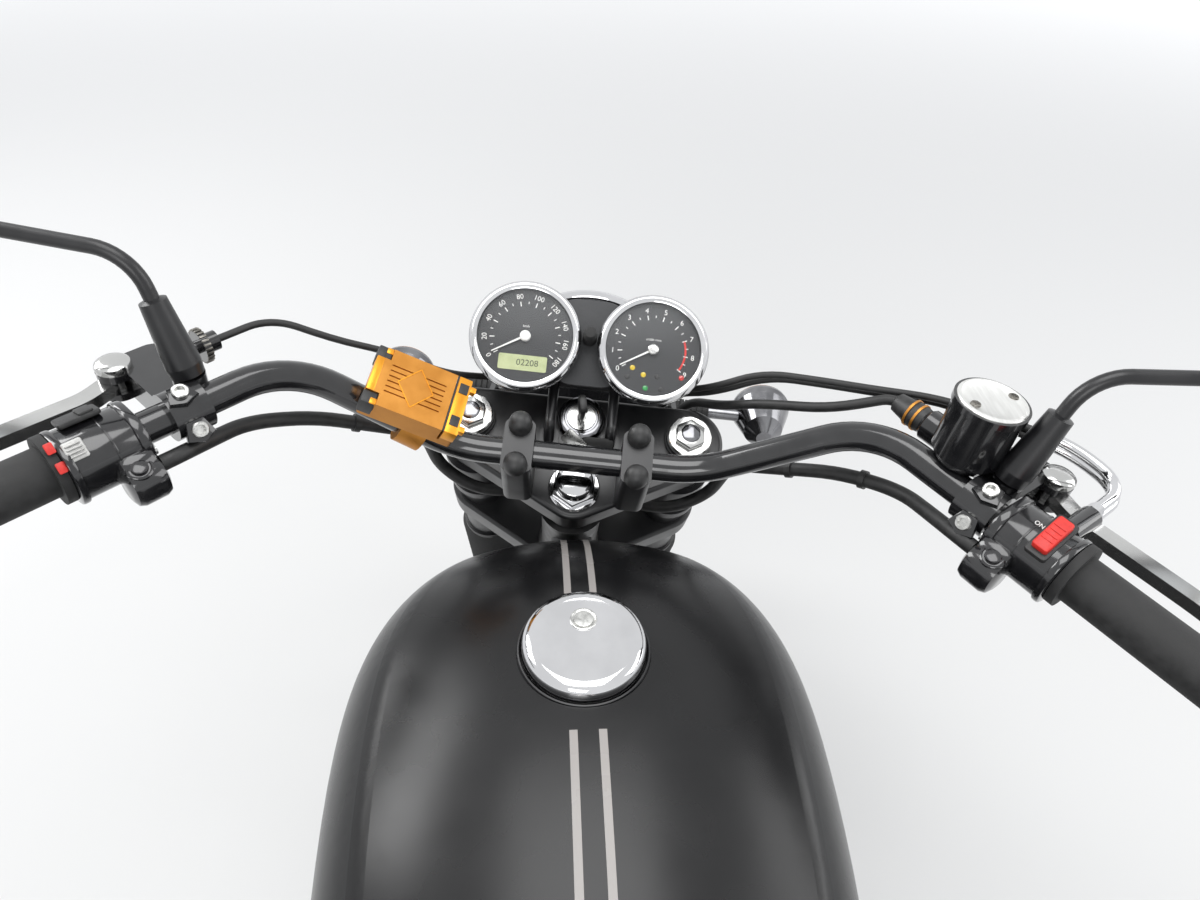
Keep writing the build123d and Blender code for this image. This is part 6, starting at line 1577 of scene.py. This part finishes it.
# %% Plug caps and leads
PLUG_CAP = [(-6, 0), (-6, 8), (8, 8), (8, 10.5), (12, 10.5), (13, 8.4), (30, 8), (34, 6), (34, 0)]
plugs, leads = [], []
for side in (1, -1):
    plugs.append(spun(PLUG_CAP, facing((CRANK_X + 52, side * 66, 694), (0.75, 0, 0.66), (0, 1, 0)), 28))
    route = [(CRANK_X + ahead, side * out, z) for ahead, out, z in ((74, 66, 714), (92, 64, 730), (96, 40, 748),
                                                                    (60, 12, 756))]
    leads.append(sleeve(rounded(route), 3.4, 12, BIKE))
piece("plug_caps", plugs, grip_rubber, "root")
piece("plug_leads", leads, hose_rubber, "root")

# %% [markdown]
# ## Exhaust
# Every joint on the real thing has a clamp, a nut or a dome over it. Each exhaust pipe leaves the
# head through a finned collar. Two clamps hold the silencer's front, and a thicker lip ends it.
# All of them are lathe shapes on the pipe's own axis.

# %% Exhaust collars and clamps
PORT_REACH, PORT_Y, PORT_Z = 92.0, 60.0, 654.0
SILENCER_NEAR, SILENCER_FAR = (-130, 162, 258), (-770, 174, 290)
CLAMP = [(0, 21.8), (0, 23.6), (1, 24), (9, 24), (10, 23.6), (10, 21.8), (0, 21.8)]
LIP = [(0, 28.8), (0, 30.4), (8, 30.4), (10.4, 29.4), (10.4, 23.4), (0, 23.4), (0, 28.8)]
fins = [(0, 24.6), (0, 31)]
for n in range(3):
    fins += [(2.6 + 5.4 * n, 32), (2.6 + 5.4 * n, 28), (5.4 + 5.4 * n, 28), (5.4 + 5.4 * n, 32)]
fins += [(18.6, 31), (20, 29), (20, 19.2), (0, 19.2), (0, 24.6)]
collars, clamps = [], []
for side in (1, -1):
    collars.append(spun(fins, facing((CRANK_X + PORT_REACH - 9, side * PORT_Y, PORT_Z), (1, 0, 0)), 56))
    near, far = (Vector((x, side * y, z)) for x, y, z in (SILENCER_NEAR, SILENCER_FAR))
    for share in (-0.008, 0.03):
        at = facing(near.lerp(far, share), far - near)
        clamps += [spun(CLAMP, at, 48), block((9, 8, 9), shifted(at, 0, -27, 5), 1.0)]
    clamps.append(spun(LIP, facing(near.lerp(far, 0.9845), far - near), 48))
piece("exhaust_collars", collars, polished, "root")
piece("exhaust_clamps", clamps, chrome, "root")

# %% [markdown]
# ## Shocks and axles
# Chromed dome nuts hold the shocks at both ends. The rear axle has a washer, a hexagon nut and its
# thread, and a chain adjuster behind it. The front axle ends in a round cap with a hollow in it.

# %% Domes and axle nuts
ACORN = [(0, 0), (0, 13), (1.6, 13), (1.6, 10), (7, 10), (8, 8.4), (11, 7.2), (13.4, 4.2), (14.2, 0)]
SHOCK_FACES = ((SHOCK_LOW, 157.8), (SHOCK_TOP, 153.8))
rear_nuts, front_nuts, domes = [], [], []
for side in (1, -1):
    domes += [spun(ACORN, outboard(side, end.x, y, end.z), 28) for end, y in SHOCK_FACES]
    at = outboard(side, REAR_AXLE[0], 145.8, REAR_AXLE[2])
    rear_nuts += [spun([(0, 0), (0, 17), (2.2, 17), (2.2, 0)], at, 36),
                  prism(hexagon(14), shifted(at, 0, 0, 2), 9, 1.2),
                  spun([(9, 0), (9, 8), (15, 7.4), (16, 6), (16, 0)], at, 24)]
    end = facing((-752, side * 120, 345.5), (-1, 0, -0.09))
    rear_nuts += [block((22, 34, 4), shifted(end, 0, 0, 3), 0.8), prism(hexagon(6), shifted(end, 0, 0, 5), 6, 0.6)]
    front_end = FORK @ outboard(side, FORK_OFFSET, FORK_HALF + 33.8, AXLE_U)
    front_nuts.append(spun([(0, 0), (0, 11.6), (3, 11.2), (4, 9.6), (4, 6.2), (1.4, 6.0), (1.4, 0)], front_end, 36))
piece("shock_domes", domes, chrome, "root")
piece("rear_axle_nuts", rear_nuts, zinc, "root")
piece("front_axle_nuts", front_nuts, zinc, "steering")

# %% [markdown]
# ## Foot rests
# Each foot rest is a steel peg with a ribbed rubber over it. The gear lever has a small rubber
# too, and the brake pedal a flat pad.

# %% Foot rubbers
REST_RIBS = 11
ribs = [(36, 15.2)]
for n in range(REST_RIBS):
    ribs += [(38 + 8 * n, 17.6), (42.6 + 8 * n, 17.6), (43.2 + 8 * n, 16.2), (45.4 + 8 * n, 16.2)]
ribs += [(126, 17.4), (131.5, 16.4), (131.5, 0), (130.2, 0), (36, 0), (36, 15.2)]
rubbers = [spun(ribs, outboard(side, -214, 110, 335), 40) for side in (1, -1)]
rubbers.append(spun([(6, 0), (6, 11), (12, 12), (38, 12), (44.6, 11), (45.4, 9), (45.4, 0)],
                    outboard(1, 52, 146, 300), 28))
rubbers.append(block((40, 36, 2.6), shifted(BIKE, 51, -159, 302), 1.0))
piece("foot_rubbers", rubbers, grip_rubber, "root")

# %% [markdown]
# ## Fork and brake details
# Steel bands hold each gaiter at its ends, and a wider collar closes its foot. Eight buttons hold
# the disc to its hub, and two round caps cover the caliper's pistons.

# %% Bands, buttons and piston caps
bands = []
for side in (1, -1):
    leg = shifted(FORK, FORK_OFFSET, side * FORK_HALF, 0)
    bands += [spun(washer(r - 1.2, r, 0, 5), shifted(leg, 0, 0, u), 48) for u, r in ((-286.5, 27.0), (-461.0, 27.2))]
    bands.append(spun([(0, 25.3), (0, 26.4), (1, 27), (8, 27), (9, 26.4), (9, 25.3), (0, 25.3)],
                      shifted(leg, 0, 0, -474), 48))
piece("gaiter_bands", bands, dark_steel, "steering")
DISC_BOLTS, DISC_BOLT_RING = 8, 41
disc_face = FORK @ outboard(-1, FORK_OFFSET, 54.4, AXLE_U)
turns = [2 * pi * n / DISC_BOLTS + 0.2 for n in range(DISC_BOLTS)]
piece("disc_bolts", [bolt_head(shifted(disc_face, DISC_BOLT_RING * cos(a), DISC_BOLT_RING * sin(a), 0), 5.0, 3.6)
                     for a in turns], zinc, "front_wheel")
PISTON_CAP = [(0, 0), (0, 12), (1.6, 12), (2.4, 10.8), (2.4, 6), (0.8, 5.4), (0.8, 0)]
piece("caliper_caps", [spun(PISTON_CAP, FORK @ outboard(-1, FORK_OFFSET - 92, 85.8, AXLE_U + 98 + shift), 36)
                       for shift in (-17, 17)], dark_chrome, "steering")

# %% [markdown]
# ## Side cover and tail details
# Round knobs hold the side covers, small dome screws hold the number plate, and the rear
# indicators have the same rubber boots as the front ones, only shorter.

# %% Knobs, plate screws and tail boots
COVER_KNOBS = ((-300, 700, 8), (-420, 690, 8), (-330, 530, 6))
PLATE_SCREW = [(-0.4, 0), (-0.4, 5.4), (0.8, 5.2), (1.9, 3.2), (2.0, 0)]
knobs, plate_screws, tail_boots = [], [], []
for side in (1, -1):
    for x, z, r in COVER_KNOBS:
        knobs.append(spun([(0, 0), (0, r * 1.5), (1.4, r * 1.5), (2.2, r), (4.4, r * 0.9), (5.2, r * 0.5), (5.4, 0)],
                          outboard(side, x, 118.7, z), 32))
    plate_screws += [spun(PLATE_SCREW, facing((-1062.4, side * 70, z), (-1, 0, 0)), 20) for z in (490, 550)]
    tail_boots.append(boot(outboard(side, TAIL_INDICATOR[0], 30.2, TAIL_INDICATOR[2]), 4, 11, 8.6, 28))
piece("cover_knobs", knobs, dark_chrome, "root")
piece("plate_screws", plate_screws, zinc, "root")
piece("tail_boots", tail_boots, grip_rubber, "root")
